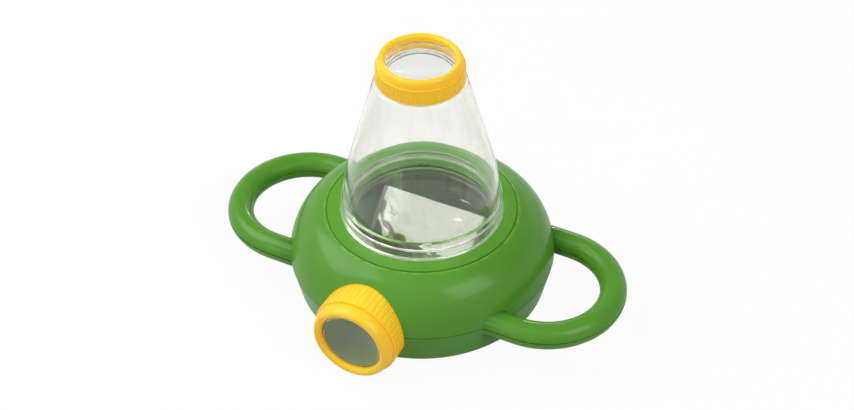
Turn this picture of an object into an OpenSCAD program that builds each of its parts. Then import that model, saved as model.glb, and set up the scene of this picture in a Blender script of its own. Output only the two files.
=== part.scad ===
// Two-way bug viewer: a hollow round body with two loop handles, a clear chamber under a lift-off
// cone with a lens on top, and a side eyepiece that looks by way of a sloping mirror at the
// underside of what lies in the chamber. The origin is the middle of the face that stands on the
// table, +Z is up, the eyepiece looks along -Y and the handles lie along X.

/* [Body] */
// Radius of the body where it is widest
body_r = 80.2; // [78:0.1:84]
// Height of the flat top of the body
body_h = 60.7; // [59:0.1:64]
// Height at which the dome's curve is centred
dome_mid_z = 27.3; // [25:0.1:28.3]
// Radius of the flat part of the top, where the dome begins
flat_r = 52.3; // [50:0.1:55]
// Height of the joint between the two shells
part_z = 28.8; // [28.5:0.1:30]
// How far the flat face that stands on the table stays inside the body's widest radius
base_in = 18.2; // [16:0.1:22]
// How far the heel, the lower edge of the side wall, stays inside that radius
heel_in = 4.3; // [2.7:0.1:5.7]
// Height of the middle of the heel's round
heel_z = 10.1; // [9:0.1:12]
// Radius of the heel's round
heel_round = 4; // [3.4:0.1:5]
// Wall of the two shells
wall = 2.5; // [2:0.1:3]
// Thickness of the floor
floor_t = 2.8; // [2.2:0.1:3.2]
// Height and depth of the rebates that show as the lines between the green pieces
seam = 0.5; // [0.3:0.1:0.8]

/* [Handles] */
// Distance from the axis to the far side of each handle
handle_reach = 130; // [126:0.5:136]
// Radius of the handle's tube
handle_r = 8; // [7.2:0.1:9]
// Radius of the handle's loop, to the middle of its tube
loop_r = 40.6; // [38:0.1:43]
// Wall of the hollow handle
handle_wall = 2.2; // [1.8:0.1:2.6]

/* [Chamber] */
// Inner radius of the clear dish at its rim
dish_r = 43.5; // [42.8:0.1:44]
// Inner radius of the dish below its step
dish_low_r = 42.3; // [41:0.1:42.5]
// Wall and floor of the dish
dish_wall = 1.8; // [1.4:0.1:2]
// Depth of the dish's floor below the body's flat top
dish_depth = 8.7; // [8.2:0.1:9]
// Depth of the dish's inner step below the body's flat top
dish_step = 2.9; // [2.5:0.1:3.6]
// Height of the dish's rim above the body's flat top
dish_rim_h = 5; // [4:0.1:6.5]
// Outer radius of the dish's flange
flange_r = 54; // [51:0.1:54.6]
// Outer radius of the collar that clamps the dish
collar_r = 56.6; // [56:0.1:58]
// Thickness of the collar
collar_t = 4; // [3:0.1:4.6]

/* [Cone] */
// Outer radius of the bead at the foot of the cone's skirt
bead_r = 48.8; // [48.6:0.1:51]
// Height of that bead
bead_h = 2; // [1.4:0.1:3]
// Outer radius of the skirt at its top
skirt_r = 47.6; // [47.2:0.1:48.4]
// Height of the skirt
skirt_h = 12.4; // [10:0.1:14]
// Outer radius of the cone above its skirt
foot_r = 46.2; // [45.8:0.1:47]
// Outer radius of the cone at its top
cone_top_r = 26.7; // [26:0.1:27.6]
// Height of the cone above its skirt
cone_h = 82.4; // [70:0.1:95]
// Height over which the foot of the cone curves in
bend_h = 21; // [14:0.5:28]
// Wall of the cone
cone_wall = 1.8; // [1.5:0.1:2.2]

/* [Top ring] */
// Outer radius of the ribbed grip
top_grip_r = 25.6; // [25.2:0.1:26]
// Height of the ribbed grip
top_grip_h = 9.9; // [8.6:0.1:12]
// Radius of the smooth rim at the line above the grip
top_step_r = 24.6; // [24.2:0.1:25]
// Height of the smooth rim
top_rim_h = 5; // [4.8:0.1:6]
// Radius of the opening over the lens
top_open_r = 20; // [18.5:0.1:21]
// Number of ribs round the grip
top_ribs = 92; // [70:1:104]
// Outer radius of the cone's neck, inside the ring
neck_r = 22.4; // [22:0.1:22.6]

/* [Eyepiece] */
// Height of the eyepiece's axis
eye_z = 27.4; // [27.2:0.1:28.4]
// How far the eyepiece's front stands out from the body where it is widest
eye_front = 13.1; // [11:0.1:16]
// Outer radius of the ribbed grip
eye_grip_r = 26.4; // [26:0.1:26.7]
// Length of the ribbed grip
eye_grip_h = 20.3; // [18:0.1:22]
// Radius of the smooth rim at the line before the grip
eye_step_r = 25.1; // [24.8:0.1:25.4]
// Length of the smooth rim
eye_rim_h = 7.7; // [6.5:0.1:8.5]
// Radius of the opening before the lens
eye_open_r = 19.2; // [18:0.1:21]
// Number of ribs round the grip
eye_ribs = 48; // [36:1:60]
// Outer radius of the barrel, inside the ring
barrel_r = 22.6; // [22.2:0.1:23]

/* [Lenses and threads] */
// Thickness of a lens at its edge
lens_edge = 1.6; // [1.3:0.1:2]
// Bulge of each face of a lens
lens_crown = 1.5; // [1:0.1:1.6]
// Depth of the front face of a lens's edge behind the ring's front
lens_inset = 3.2; // [3:0.1:3.5]
// Thickness of the ring that keeps a lens in its seat
keeper_t = 1.2; // [1:0.1:1.5]
// Distance between the ridges of the threads
thread_pitch = 4; // [3:0.1:4.5]
// Height of those ridges
thread_h = 0.5; // [0.3:0.1:0.6]
// Wall of the neck and the barrel
tube_wall = 2; // [1.6:0.1:2.2]

/* [Mirror] */
// Width of the mirror
mirror_w = 66; // [60:0.5:68]
// Thickness of the mirror
mirror_t = 2; // [1.6:0.1:2.2]
// Place along Y where the eyepiece's axis meets the mirror
mirror_y = -4; // [-7:0.1:-2]
// Thickness of the mirror's frame
frame_t = 2.2; // [1.8:0.1:2.4]

/* [Screws] */
// Radius of the shank of a body screw
screw_r = 1.5; // [1.3:0.05:1.6]
// Length of the shank of a body screw
screw_len = 12; // [9:0.5:14]
// Radius of the head of a body screw
head_r = 2.8; // [2.5:0.1:3]
// Height of the head of a body screw
head_h = 2; // [1.6:0.1:2.2]
// Distance of the body screws from both middle planes
screw_xy = 41; // [40:0.5:42]
// Radius of the shank of a small screw
small_screw_r = 1.2; // [1.1:0.05:1.3]
// Length of the shank of a small screw
small_screw_len = 6.5; // [5.5:0.5:7]
// Radius of the head of a small screw
small_head_r = 2.3; // [2.1:0.1:2.4]
// Height of the head of a small screw
small_head_h = 1.5; // [1.2:0.1:1.6]

/* [Fits] */
// Gap between pieces that turn, slide or lift
run_gap = 0.3; // [0.25:0.05:0.4]
// Gap between a fixed piece and its seat
seat_gap = 0.1; // [0.05:0.05:0.15]
// Gap between a shank and its bore
bore_gap = 0.02; // [0.01:0.01:0.05]

/* [Hidden] */

$fn = 96;
// How far a cut runs past the face that it opens
over = 1;
// Steps in which a curve of a section is drawn
curve_steps = 20;
round_steps = 8;

// Shell: the dome's half axes, and its radius at the joint between the shells
dome_a = body_r - flat_r;
dome_b = body_h - dome_mid_z;
function dome_z(r) = dome_mid_z + dome_b * sqrt(1 - pow(max(r - flat_r, 0) / dome_a, 2));
function dome_r(z) = flat_r + dome_a * sqrt(1 - pow((z - dome_mid_z) / dome_b, 2));
part_r = dome_r(part_z);
// Base and heel: their radii, and the angle at which the bevel between them meets the round
base_r = body_r - base_in;
heel_r = body_r - heel_in;
heel_x = heel_r - heel_round;
bevel_slope = atan2(heel_z, heel_x - base_r)
    - asin(heel_round / norm([heel_x - base_r, heel_z]));
side_slope = atan2(part_r - heel_r, part_z - heel_z);
// Handles: the middle of each loop, and where its straight legs end inside the wall
loop_x = handle_reach - handle_r - loop_r;
leg_root_x = sqrt(pow(body_r - 3 * wall, 2) - pow(loop_r + handle_r, 2));
// Dish, flange and collar, one upon the other on the shell's ledge
flange_t = dish_wall;
flange_z = body_h - collar_t - flange_t;
ledge_t = wall;
dish_out_r = dish_r + dish_wall;
dish_floor_z = body_h - dish_depth;
dish_rim_z = body_h + dish_rim_h;
ledge_r = dish_out_r + seat_gap;
// Cone: its skirt, foot and neck
cone_z = body_h + seat_gap;
foot_z = cone_z + skirt_h;
cone_slope_share = (foot_r - cone_top_r) / (cone_h - bend_h / 2);
cone_top_z = foot_z + cone_h;
neck_round = 0.8;
skirt_in_r = dish_out_r + run_gap;
skirt_pocket_z = dish_rim_z + neck_round;
function cone_out_r(h) = h < bend_h ? foot_r - cone_slope_share * h * h / (2 * bend_h)
    : foot_r - cone_slope_share * (h - bend_h / 2);
// Top ring, standing just clear of the cone's shoulder
top_ring_z = cone_top_z + run_gap;
top_h = top_grip_h + top_rim_h;
top_bore_r = neck_r + thread_h + run_gap;
keeper_lip = 2;
top_lens_r = top_bore_r - 0.5 * thread_h - seat_gap;
neck_top_z = top_ring_z + top_h - lens_inset - lens_edge - keeper_t - run_gap;
// Eyepiece ring, half sunk in a round pocket of the shells
eye_h = eye_grip_h + eye_rim_h;
eye_reach = body_r + eye_front;
eye_back = eye_reach - eye_h;
eye_bore_r = barrel_r + thread_h + run_gap;
eye_lens_r = eye_bore_r - 0.5 * thread_h - seat_gap;
pocket_r = eye_grip_r + run_gap;
pocket_back = eye_back - 1.5 * run_gap;
barrel_front = eye_reach - lens_inset - lens_edge - keeper_t - run_gap;
bulkhead_t = 2.2;
barrel_flange_w = 2.4;
barrel_flange_r = barrel_r + barrel_flange_w;
barrel_flange_t = 2;
barrel_back = pocket_back - 2 * bulkhead_t - barrel_flange_t;
// Rings: share of the rim's width that its face takes, height of the line, depth of the ribs
face_share = 0.48;
line_h = 0.5;
rib_depth = 0.45;
// Ribs: shares of their pitch that the foot of a rib takes, and how much of the foot its top has
top_rib_share = 0.6;
eye_rib_share = 0.82;
rib_top_share = 0.7;
// Mirror: measured along its slope from the eyepiece's axis, it reaches from just above the
// floor, where the frame's lip holds it, up to just below the dish
slope = 45;
frame_under = mirror_t + seat_gap;
foot_z_low = floor_t + seat_gap;
mirror_low = (foot_z_low - eye_z) / sin(slope) + frame_under + 2 * frame_t + seat_gap;
mirror_high = (dish_floor_z - dish_wall - 2 * run_gap - eye_z) / sin(slope);
// Mirror frame: its outer width, and the tabs it is screwed down by
frame_x = mirror_w / 2 + seat_gap + frame_t;
clip = 3;
tab_w = 9;
tab_len = 10;
tab_post_h = 6;
tab_post_r = 3.4;
tab_x = frame_x + tab_w / 2;
tab_y = mirror_y + mirror_high * cos(slope) / 2;
tab_z = floor_t + tab_post_h;
// Screw posts: outer radius, and the seat that a head bears on
post_r = 4.6;
post_seat_t = 3;
handle_post_r = 3.4;
handle_seat_t = 2.4;
// Share of a head's radius that each arm of its cross slot reaches
cross_share = 0.65;
head_z = part_z - post_seat_t;
small_head_z = part_z - handle_seat_t;

GREEN = [0.36, 0.62, 0.24];
YELLOW = [0.97, 0.77, 0.18];
CLEAR = [0.86, 0.92, 0.88, 0.35];
SILVER = [0.84, 0.86, 0.88];
STEEL = [0.62, 0.63, 0.65];
DARK = [0.16, 0.2, 0.16];

// Outline of the dome, set in by w, from the joint up to the edge of its flat top
function dome_points(w) =
    let (low = asin((part_z - dome_mid_z) / (dome_b - w)))
    [for (i = [0:curve_steps])
        let (a = low + (90 - low) * i / curve_steps)
        [flat_r + (dome_a - w) * cos(a), dome_mid_z + (dome_b - w) * sin(a)]];

// Outline of the side and heel, set in by w, from the bevel's top up to the joint
function heel_points(w) = concat(
    [for (i = [0:round_steps])
        let (a = bevel_slope - 90 + (90 - bevel_slope - side_slope) * i / round_steps)
        [heel_x + (heel_round - w) * cos(a), heel_z + (heel_round - w) * sin(a)]],
    [[part_r - w, part_z]]);

// Solid dome above the joint, set in by w, and cut back by the seam just above the joint
module dome(w, rebate) {
    rotate_extrude()
        polygon(concat([[0, part_z], [part_r - w - rebate, part_z]],
            rebate > 0 ? [[part_r - w - rebate, part_z + seam], [part_r - w, part_z + seam]] : [],
            [for (p = dome_points(w)) if (p.y > part_z + rebate) p], [[0, body_h - w]]));
}

// Solid bowl below the joint, set in by w, with its underside at height z
module bowl(w, z) {
    rotate_extrude()
        polygon(concat([[0, z], [base_r, z]], heel_points(w), [[0, part_z]]));
}

// Half of a tube's section of radius r, above the joint: cut back by the seam where the rebate is
// above zero, and run on below the joint where it is under zero
module half_disc(r, rebate) {
    intersection() {
        circle(r);
        translate([-r, rebate]) square([2 * r, r + over]);
    }
    if (rebate > 0)
        intersection() {
            circle(r - rebate);
            translate([-r, 0]) square([2 * r, 2 * rebate]);
        }
}

// Upper half of the loop of the right handle, of tube radius r, with its two legs
module half_loop(r, rebate) {
    translate([loop_x, 0, part_z]) {
        rotate([0, 0, -90]) rotate_extrude(angle = 180)
            translate([loop_r, 0]) half_disc(r, rebate);
        for (side = [-1, 1])
            translate([leg_root_x - loop_x, side * loop_r, 0])
                rotate([90, 0, 90]) linear_extrude(loop_x - leg_root_x) half_disc(r, rebate);
    }
}

// Both handles, above the joint or below it
module half_handles(r, rebate, up) {
    for (side = [0, 1])
        mirror([side, 0, 0])
            if (up) half_loop(r, rebate);
            else translate([0, 0, 2 * part_z]) mirror([0, 0, 1]) half_loop(r, rebate);
}

// A copy of the children at each body screw, and at each handle screw
module at_base_screws() {
    for (sx = [-1, 1], sy = [-1, 1]) translate([sx * screw_xy, sy * screw_xy, 0]) children();
}
module at_handle_screws() {
    for (side = [-1, 1]) translate([side * (loop_x + loop_r), 0, 0]) children();
}

// A round bar along the eyepiece's axis, from one distance before the body's axis to another
module eye_bar(r, from, to) {
    translate([0, 0, eye_z]) rotate([90, 0, 0]) translate([0, 0, from]) cylinder(r = r, h = to - from);
}

// The block that carries the eyepiece in the shells, with the web that ties it to the dome, and
// what is cut out of it
module eye_block() {
    eye_bar(pocket_r + wall, barrel_back, body_r);
    translate([-wall / 2, -body_r, eye_z]) cube([wall, body_r - barrel_back, body_h]);
}
module eye_cuts() {
    eye_bar(pocket_r, pocket_back, eye_reach);
    eye_bar(barrel_r + bore_gap, barrel_back - over, pocket_back + over);
    eye_bar(barrel_flange_r + seat_gap, pocket_back - bulkhead_t - barrel_flange_t - seat_gap / 2,
        pocket_back - bulkhead_t + seat_gap / 2);
}

// Upper shell: the dome, the upper halves of the handles, the ledge for the dish and the posts
module upper_shell() color(GREEN) {
    difference() {
        union() {
            difference() {
                union() {
                    dome(0, seam);
                    half_handles(handle_r, seam, true);
                }
                translate([0, 0, -over]) dome(wall, 0);
                dome(wall, 0);
                half_handles(handle_r - handle_wall, -over, true);
            }
            intersection() {
                dome(wall / 2, 0);
                union() {
                    translate([0, 0, flange_z - ledge_t])
                        cylinder(r = collar_r + seat_gap + wall, h = body_h - flange_z + ledge_t);
                    eye_block();
                    at_base_screws() translate([0, 0, part_z]) cylinder(r = post_r, h = dome_b);
                }
            }
            intersection() {
                half_handles(handle_r - handle_wall / 2, 0, true);
                at_handle_screws() translate([0, 0, part_z]) cylinder(r = handle_post_r, h = handle_r);
            }
        }
        translate([0, 0, flange_z]) cylinder(r = collar_r + seat_gap, h = body_h);
        translate([0, 0, dome_z(collar_r) - seam]) cylinder(r = collar_r + seat_gap + seam, h = body_h);
        translate([0, 0, part_z - over]) cylinder(r = ledge_r, h = body_h);
        eye_cuts();
        at_base_screws() translate([0, 0, part_z - over])
            cylinder(r = screw_r + bore_gap, h = screw_len - post_seat_t + 2 * over);
        at_handle_screws() translate([0, 0, part_z - over])
            cylinder(r = small_screw_r + bore_gap, h = small_screw_len - handle_seat_t + 1.5 * over);
    }
}

// Lower shell: the bowl, the lower halves of the handles, the screw wells and the mirror's posts
module lower_shell() color(GREEN) {
    difference() {
        union() {
            difference() {
                union() {
                    bowl(0, 0);
                    half_handles(handle_r, 0, false);
                }
                bowl(wall, floor_t);
                translate([0, 0, part_z - over]) cylinder(r = part_r - wall, h = 2 * over);
                half_handles(handle_r - handle_wall, -over, false);
            }
            intersection() {
                bowl(wall / 2, 0);
                union() {
                    eye_block();
                    at_base_screws() cylinder(r = post_r, h = part_z);
                }
            }
            for (side = [-1, 1]) translate([side * tab_x, tab_y, floor_t / 2])
                cylinder(r = tab_post_r, h = tab_z - floor_t / 2);
            intersection() {
                half_handles(handle_r - handle_wall / 2, 0, false);
                at_handle_screws() translate([0, 0, part_z - handle_r])
                    cylinder(r = handle_post_r, h = handle_r);
            }
        }
        eye_cuts();
        at_base_screws() {
            translate([0, 0, -over]) cylinder(r = head_r + run_gap, h = head_z + over);
            cylinder(r = screw_r + bore_gap, h = part_z + over);
        }
        at_handle_screws() {
            cylinder(r = small_head_r + run_gap, h = small_head_z);
            cylinder(r = small_screw_r + bore_gap, h = part_z + over);
        }
        for (side = [-1, 1]) translate([side * tab_x, tab_y, tab_z + frame_t - small_screw_len - seat_gap])
            cylinder(r = small_screw_r + bore_gap, h = small_screw_len);
    }
}

// Collar: the green ring round the chamber that holds the dish's flange down on the ledge
module dish_collar() color(GREEN) {
    rotate_extrude()
        polygon(concat(
            [[ledge_r, flange_z + flange_t], [flange_r + seat_gap, flange_z + flange_t],
                [flange_r + seat_gap, flange_z], [collar_r, flange_z]],
            [for (i = [0:round_steps])
                let (r = collar_r + (flat_r - collar_r) * i / round_steps)
                [r, dome_z(r)]],
            [[ledge_r, body_h]]));
}

// Dish: the clear floor and wall of the chamber, with an inner step and an outer flange
module specimen_dish() color(CLEAR) {
    step_z = body_h - dish_step;
    rotate_extrude()
        polygon([[0, dish_floor_z - dish_wall], [dish_low_r + dish_wall, dish_floor_z - dish_wall],
            [dish_low_r + dish_wall, flange_z], [flange_r, flange_z],
            [flange_r, flange_z + flange_t], [dish_out_r, flange_z + flange_t],
            [dish_out_r, dish_rim_z], [dish_r, dish_rim_z], [dish_r, step_z],
            [dish_low_r, step_z], [dish_low_r, dish_floor_z], [0, dish_floor_z]]);
}

// Ridges of a thread on a tube of radius r, as rings a pitch apart between two heights
module thread_ridges(r, from, to) {
    for (z = [from : thread_pitch : to])
        translate([0, 0, z]) rotate_extrude()
            polygon([[r - over, 0], [r, 0], [r + thread_h, thread_h], [r + thread_h, 2 * thread_h],
                [r, 3 * thread_h], [r - over, 3 * thread_h]]);
}

// Cone: the clear lift-off lid, with a skirt round the dish's rim and a threaded neck
module viewing_cone() color(CLEAR) {
    cone_steps = [for (i = [0:curve_steps]) bend_h * i / curve_steps];
    in_top_h = cone_h - cone_wall - neck_round;
    rotate_extrude()
        polygon(concat(
            [[skirt_in_r, cone_z], [bead_r, cone_z], [bead_r, cone_z + bead_h],
                [(bead_r + skirt_r) / 2, cone_z + bead_h + seam], [skirt_r, foot_z - neck_round],
                [foot_r + neck_round / 2, foot_z]],
            [for (h = cone_steps) [cone_out_r(h), foot_z + h]],
            [[cone_top_r, cone_top_z - neck_round], [cone_top_r - neck_round, cone_top_z],
                [neck_r, cone_top_z], [neck_r, neck_top_z], [neck_r - tube_wall, neck_top_z],
                [neck_r - tube_wall, cone_top_z - cone_wall],
                [cone_top_r - cone_wall - neck_round, cone_top_z - cone_wall],
                [cone_out_r(in_top_h) - cone_wall, foot_z + in_top_h]],
            [for (i = [curve_steps : -1 : 0])
                [cone_out_r(cone_steps[i]) - cone_wall, foot_z + cone_steps[i]]],
            [[foot_r - cone_wall, skirt_pocket_z], [skirt_in_r, skirt_pocket_z]]));
    translate([0, 0, cone_top_z]) thread_ridges(neck_r, thread_h + run_gap, neck_top_z - cone_top_z
        - 4 * thread_h);
}

// Section of a ring from its grip to its opening, without the ribs
module ring_section(grip_r, grip_h, step_r, rim_h, open_r, bore_r, lens_r) {
    h = grip_h + rim_h;
    face_r = open_r + (step_r - open_r) * face_share;
    in_h = rim_h / 3;
    polygon(concat(
        [[bore_r, 0], [grip_r - rib_depth, 0], [grip_r - rib_depth, grip_h],
            [step_r - line_h, grip_h], [step_r - line_h, grip_h + line_h]],
        [for (i = [0:round_steps])
            let (a = 90 * i / round_steps)
            [face_r + (step_r - face_r) * cos(a), grip_h + line_h + (rim_h - line_h) * sin(a)]],
        [for (i = [1:round_steps])
            let (a = 90 + 90 * i / round_steps)
            [face_r + (face_r - open_r) * cos(a), h - in_h + in_h * sin(a)]],
        [[open_r, h - lens_inset], [lens_r + seat_gap, h - lens_inset],
            [lens_r + seat_gap, h - lens_inset - lens_edge], [bore_r, h - lens_inset - lens_edge]]));
}

// A knurled ring that screws on a tube and holds a lens, standing on its open end
module knurled_ring(grip_r, grip_h, step_r, rim_h, open_r, bore_r, lens_r, ribs, rib_share) {
    rotate_extrude() ring_section(grip_r, grip_h, step_r, rim_h, open_r, bore_r, lens_r);
    half_foot = rib_share / 2;
    half_top = half_foot * rib_top_share;
    linear_extrude(grip_h) difference() {
        polygon([for (i = [0:ribs - 1], k = [[-half_foot, 0], [-half_top, 1], [half_top, 1], [half_foot, 0]])
            let (a = 360 * (i + k.x) / ribs, r = grip_r - rib_depth * (1 - k.y))
            [r * cos(a), r * sin(a)]]);
        circle(grip_r - 2 * rib_depth);
    }
}

// A lens of radius r that bulges within the ring's opening, with its flat edge from height 0 up
module lens(r, open_r) {
    bulge_r = open_r - seat_gap;
    ball_r = (bulge_r * bulge_r + lens_crown * lens_crown) / (2 * lens_crown);
    arc = asin(bulge_r / ball_r);
    side = [for (i = [0:round_steps])
        let (a = arc * i / round_steps)
        [ball_r * sin(a), ball_r * cos(a) - ball_r + lens_crown]];
    rotate_extrude()
        polygon(concat([for (p = side) [p.x, -p.y]], [[r, 0], [r, lens_edge]],
            [for (i = [round_steps : -1 : 0]) [side[i].x, lens_edge + side[i].y]]));
}

// The ring that keeps a lens in its seat, lying at height 0 in a bore
module keeper(bore_r) {
    difference() {
        cylinder(r = bore_r - bore_gap, h = keeper_t - seat_gap);
        translate([0, 0, -over]) cylinder(r = bore_r - thread_h - keeper_lip, h = keeper_t + 2 * over);
    }
}

// The pieces of the top ring, and those of the eyepiece, in their places
module at_top() {
    translate([0, 0, top_ring_z]) children();
}
module at_eyepiece() {
    translate([0, 0, eye_z]) rotate([90, 0, 0]) translate([0, 0, eye_back]) children();
}

module top_bezel() color(YELLOW) at_top()
    knurled_ring(top_grip_r, top_grip_h, top_step_r, top_rim_h, top_open_r, top_bore_r, top_lens_r,
        top_ribs, top_rib_share);
module top_lens() color(CLEAR) at_top()
    translate([0, 0, top_h - lens_inset - lens_edge]) lens(top_lens_r, top_open_r);
module top_lens_keeper() color(YELLOW) at_top()
    translate([0, 0, top_h - lens_inset - lens_edge - keeper_t]) keeper(top_bore_r);

module eyepiece_bezel() color(YELLOW) at_eyepiece()
    knurled_ring(eye_grip_r, eye_grip_h, eye_step_r, eye_rim_h, eye_open_r, eye_bore_r, eye_lens_r,
        eye_ribs, eye_rib_share);
module eyepiece_lens() color(CLEAR) at_eyepiece()
    translate([0, 0, eye_h - lens_inset - lens_edge]) lens(eye_lens_r, eye_open_r);
module eyepiece_lens_keeper() color(YELLOW) at_eyepiece()
    translate([0, 0, eye_h - lens_inset - lens_edge - keeper_t]) keeper(eye_bore_r);

// Barrel: the threaded tube that the eyepiece's ring turns on, held by its flange in the shells
module eyepiece_barrel() color(DARK) {
    difference() {
        union() {
            eye_bar(barrel_r, barrel_back, barrel_front);
            eye_bar(barrel_flange_r, pocket_back - bulkhead_t - barrel_flange_t, pocket_back - bulkhead_t);
            translate([0, 0, eye_z]) rotate([90, 0, 0])
                thread_ridges(barrel_r, barrel_front - 3 * thread_pitch, barrel_front - 4 * thread_h);
        }
        eye_bar(barrel_r - tube_wall, barrel_back - over, barrel_front + over);
    }
}

// A copy of the children on the mirror's slope, with its reflecting face at height 0
module on_slope() {
    translate([0, mirror_y, eye_z]) rotate([slope, 0, 0]) children();
}

module mirror_plate() color(SILVER) on_slope()
    translate([-mirror_w / 2, mirror_low, -mirror_t])
        cube([mirror_w, mirror_high - mirror_low, mirror_t]);

// Frame: a sloping tray with a lip and four clips for the mirror, on two cheeks with tabs for
// the screws that hold it down
module mirror_frame() color(DARK) {
    tray_low = mirror_low - seat_gap - frame_t;
    tray_len = mirror_high - tray_low;
    cheek_drop = (frame_under + frame_t / 2) / cos(slope);
    cheek_low = foot_z_low + frame_t;
    cheek_y = mirror_y + cheek_low + cheek_drop - eye_z;
    top = [mirror_y + mirror_high * cos(slope), eye_z + mirror_high * sin(slope) - cheek_drop];
    on_slope() {
        translate([-frame_x, tray_low, -frame_under - frame_t])
            cube([2 * frame_x, tray_len, frame_t]);
        translate([-frame_x, tray_low, -frame_under - frame_t])
            cube([2 * frame_x, frame_t, frame_under + frame_t]);
        for (side = [-1, 1])
            translate([side > 0 ? frame_x - frame_t : -frame_x, tray_low, -frame_under - frame_t])
                cube([frame_t, tray_len, frame_under + frame_t + seat_gap]);
        for (side = [-1, 1], y = [mirror_low + clip, mirror_high - 2 * clip])
            translate([side > 0 ? frame_x - frame_t - clip : -frame_x, y, seat_gap])
                cube([frame_t + clip, clip, frame_t / 2]);
    }
    for (side = [-1, 1]) {
        translate([side > 0 ? frame_x - frame_t : -frame_x, 0, 0])
            rotate([90, 0, 90]) linear_extrude(frame_t)
                polygon([[cheek_y, foot_z_low], [top.x, foot_z_low], top, [cheek_y, cheek_low]]);
        difference() {
            mirror([side > 0 ? 0 : 1, 0, 0])
                translate([frame_x - frame_t / 2, tab_y - tab_len / 2, tab_z])
                    cube([tab_w + frame_t / 2, tab_len, frame_t]);
            translate([side * tab_x, tab_y, tab_z - over])
                cylinder(r = small_screw_r + bore_gap, h = frame_t + 2 * over);
        }
    }
}

// A screw with its head down and the bearing face of the head at height 0
module screw(r, len, head_r, head_h) {
    cross_w = head_r / 3;
    cross_r = head_r * cross_share;
    difference() {
        union() {
            cylinder(r = r, h = len);
            translate([0, 0, -head_h]) cylinder(r = head_r, h = head_h);
        }
        for (turn = [0, 90]) rotate([0, 0, turn])
            translate([-cross_r, -cross_w / 2, -head_h - over])
                cube([2 * cross_r, cross_w, head_h / 2 + over]);
    }
}

module base_screw(sx, sy) color(STEEL)
    translate([sx * screw_xy, sy * screw_xy, head_z]) screw(screw_r, screw_len, head_r, head_h);
module handle_screw(side) color(STEEL)
    translate([side * (loop_x + loop_r), 0, small_head_z])
        screw(small_screw_r, small_screw_len, small_head_r, small_head_h);
module frame_screw(side) color(STEEL)
    translate([side * tab_x, tab_y, tab_z + frame_t])
        mirror([0, 0, 1]) screw(small_screw_r, small_screw_len, small_head_r, small_head_h);

upper_shell();
lower_shell();
dish_collar();
specimen_dish();
viewing_cone();
top_bezel();
top_lens();
top_lens_keeper();
eyepiece_barrel();
eyepiece_bezel();
eyepiece_lens();
eyepiece_lens_keeper();
mirror_plate();
mirror_frame();
base_screw(-1, -1);  // base_screw_front_left
base_screw(1, -1);  // base_screw_front_right
base_screw(-1, 1);  // base_screw_back_left
base_screw(1, 1);  // base_screw_back_right
handle_screw(-1);  // handle_screw_left
handle_screw(1);  // handle_screw_right
frame_screw(-1);  // mirror_screw_left
frame_screw(1);  // mirror_screw_right
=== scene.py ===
"""Two-way bug viewer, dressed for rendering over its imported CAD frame.

All sizes are in millimetres until a piece is finished. The origin is the middle of the face that
stands on the table, +Z is up, the eyepiece looks along -Y and the handles lie along X.
"""
import logging
import math
from collections.abc import Callable, Iterable, Sequence
from dataclasses import dataclass
from enum import Enum

import bmesh
import bpy
from mathutils import Matrix, Vector


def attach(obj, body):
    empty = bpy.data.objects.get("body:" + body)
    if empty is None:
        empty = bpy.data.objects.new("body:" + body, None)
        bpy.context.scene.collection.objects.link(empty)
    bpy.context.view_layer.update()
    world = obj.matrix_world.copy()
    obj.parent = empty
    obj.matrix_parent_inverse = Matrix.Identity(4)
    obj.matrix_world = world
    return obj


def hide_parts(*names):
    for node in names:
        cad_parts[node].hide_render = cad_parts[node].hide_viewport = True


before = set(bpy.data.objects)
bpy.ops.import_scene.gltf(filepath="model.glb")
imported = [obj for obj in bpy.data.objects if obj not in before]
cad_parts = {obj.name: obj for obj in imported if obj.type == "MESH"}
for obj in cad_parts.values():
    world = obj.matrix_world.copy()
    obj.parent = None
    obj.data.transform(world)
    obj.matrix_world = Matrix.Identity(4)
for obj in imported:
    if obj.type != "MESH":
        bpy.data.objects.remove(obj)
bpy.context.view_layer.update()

MM = 0.001
EYE_Z = 27.4
SEAT_GAP = 0.1
THREAD_H = 0.5
THREAD_PITCH = 4.0
SIDES = (-1, 1)
SHARP_ANGLE = math.radians(34)
FINE_TURN = 288
MEDIUM_TURN = 160
SMALL_TURN = 64
RUN_OVER = 1.0
MOST_ROUND = 0.48
DOUBLE_GAP = 1e-5
ON_AXIS = 1e-6
NOISE_LOW = 0.3
NOISE_HIGH = 0.7

log = logging.getLogger("bug_viewer")

Point = tuple[float, float]
Span = tuple[float, float]
Triple = tuple[float, float, float]
Colour = tuple[float, float, float, float]

WHITE: Colour = (1.0, 1.0, 1.0, 1.0)


def linear(red: int, green: int, blue: int) -> Colour:
    """Turn a colour as a screen shows it into the linear values that a shader takes.

    Args:
        red: Red from 0 to 255.
        green: Green from 0 to 255.
        blue: Blue from 0 to 255.

    Returns:
        The linear colour, opaque.
    """
    parts = []
    for value in (red, green, blue):
        share = value / 255
        parts.append(share / 12.92 if share <= 0.04045 else ((share + 0.055) / 1.055) ** 2.4)
    return (parts[0], parts[1], parts[2], 1.0)


class Combine(Enum):
    """How one solid acts on another."""

    JOIN = "UNION"
    CUT = "DIFFERENCE"
    KEEP = "INTERSECT"


class Slot(Enum):
    """Material slots of the record, passed with each piece."""

    GREEN = "green_plastic"
    YELLOW = "yellow_plastic"
    CLEAR = "clear_plastic"
    LENS = "lens_plastic"
    MIRROR = "mirror"
    DARK = "dark_plastic"
    STEEL = "screw_steel"


class Body(Enum):
    """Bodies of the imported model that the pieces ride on."""

    BASE = "body"
    CONE = "cone"
    TOP_RING = "top_ring"
    TOP_LENS = "top_lens_unit"
    EYE_RING = "eye_ring"
    EYE_LENS = "eye_lens_unit"


@dataclass(frozen=True)
class Corner:
    """One corner of a section: its radius, its height and the radius it is rounded to."""

    r: float
    z: float
    fillet: float = 0.0


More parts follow.
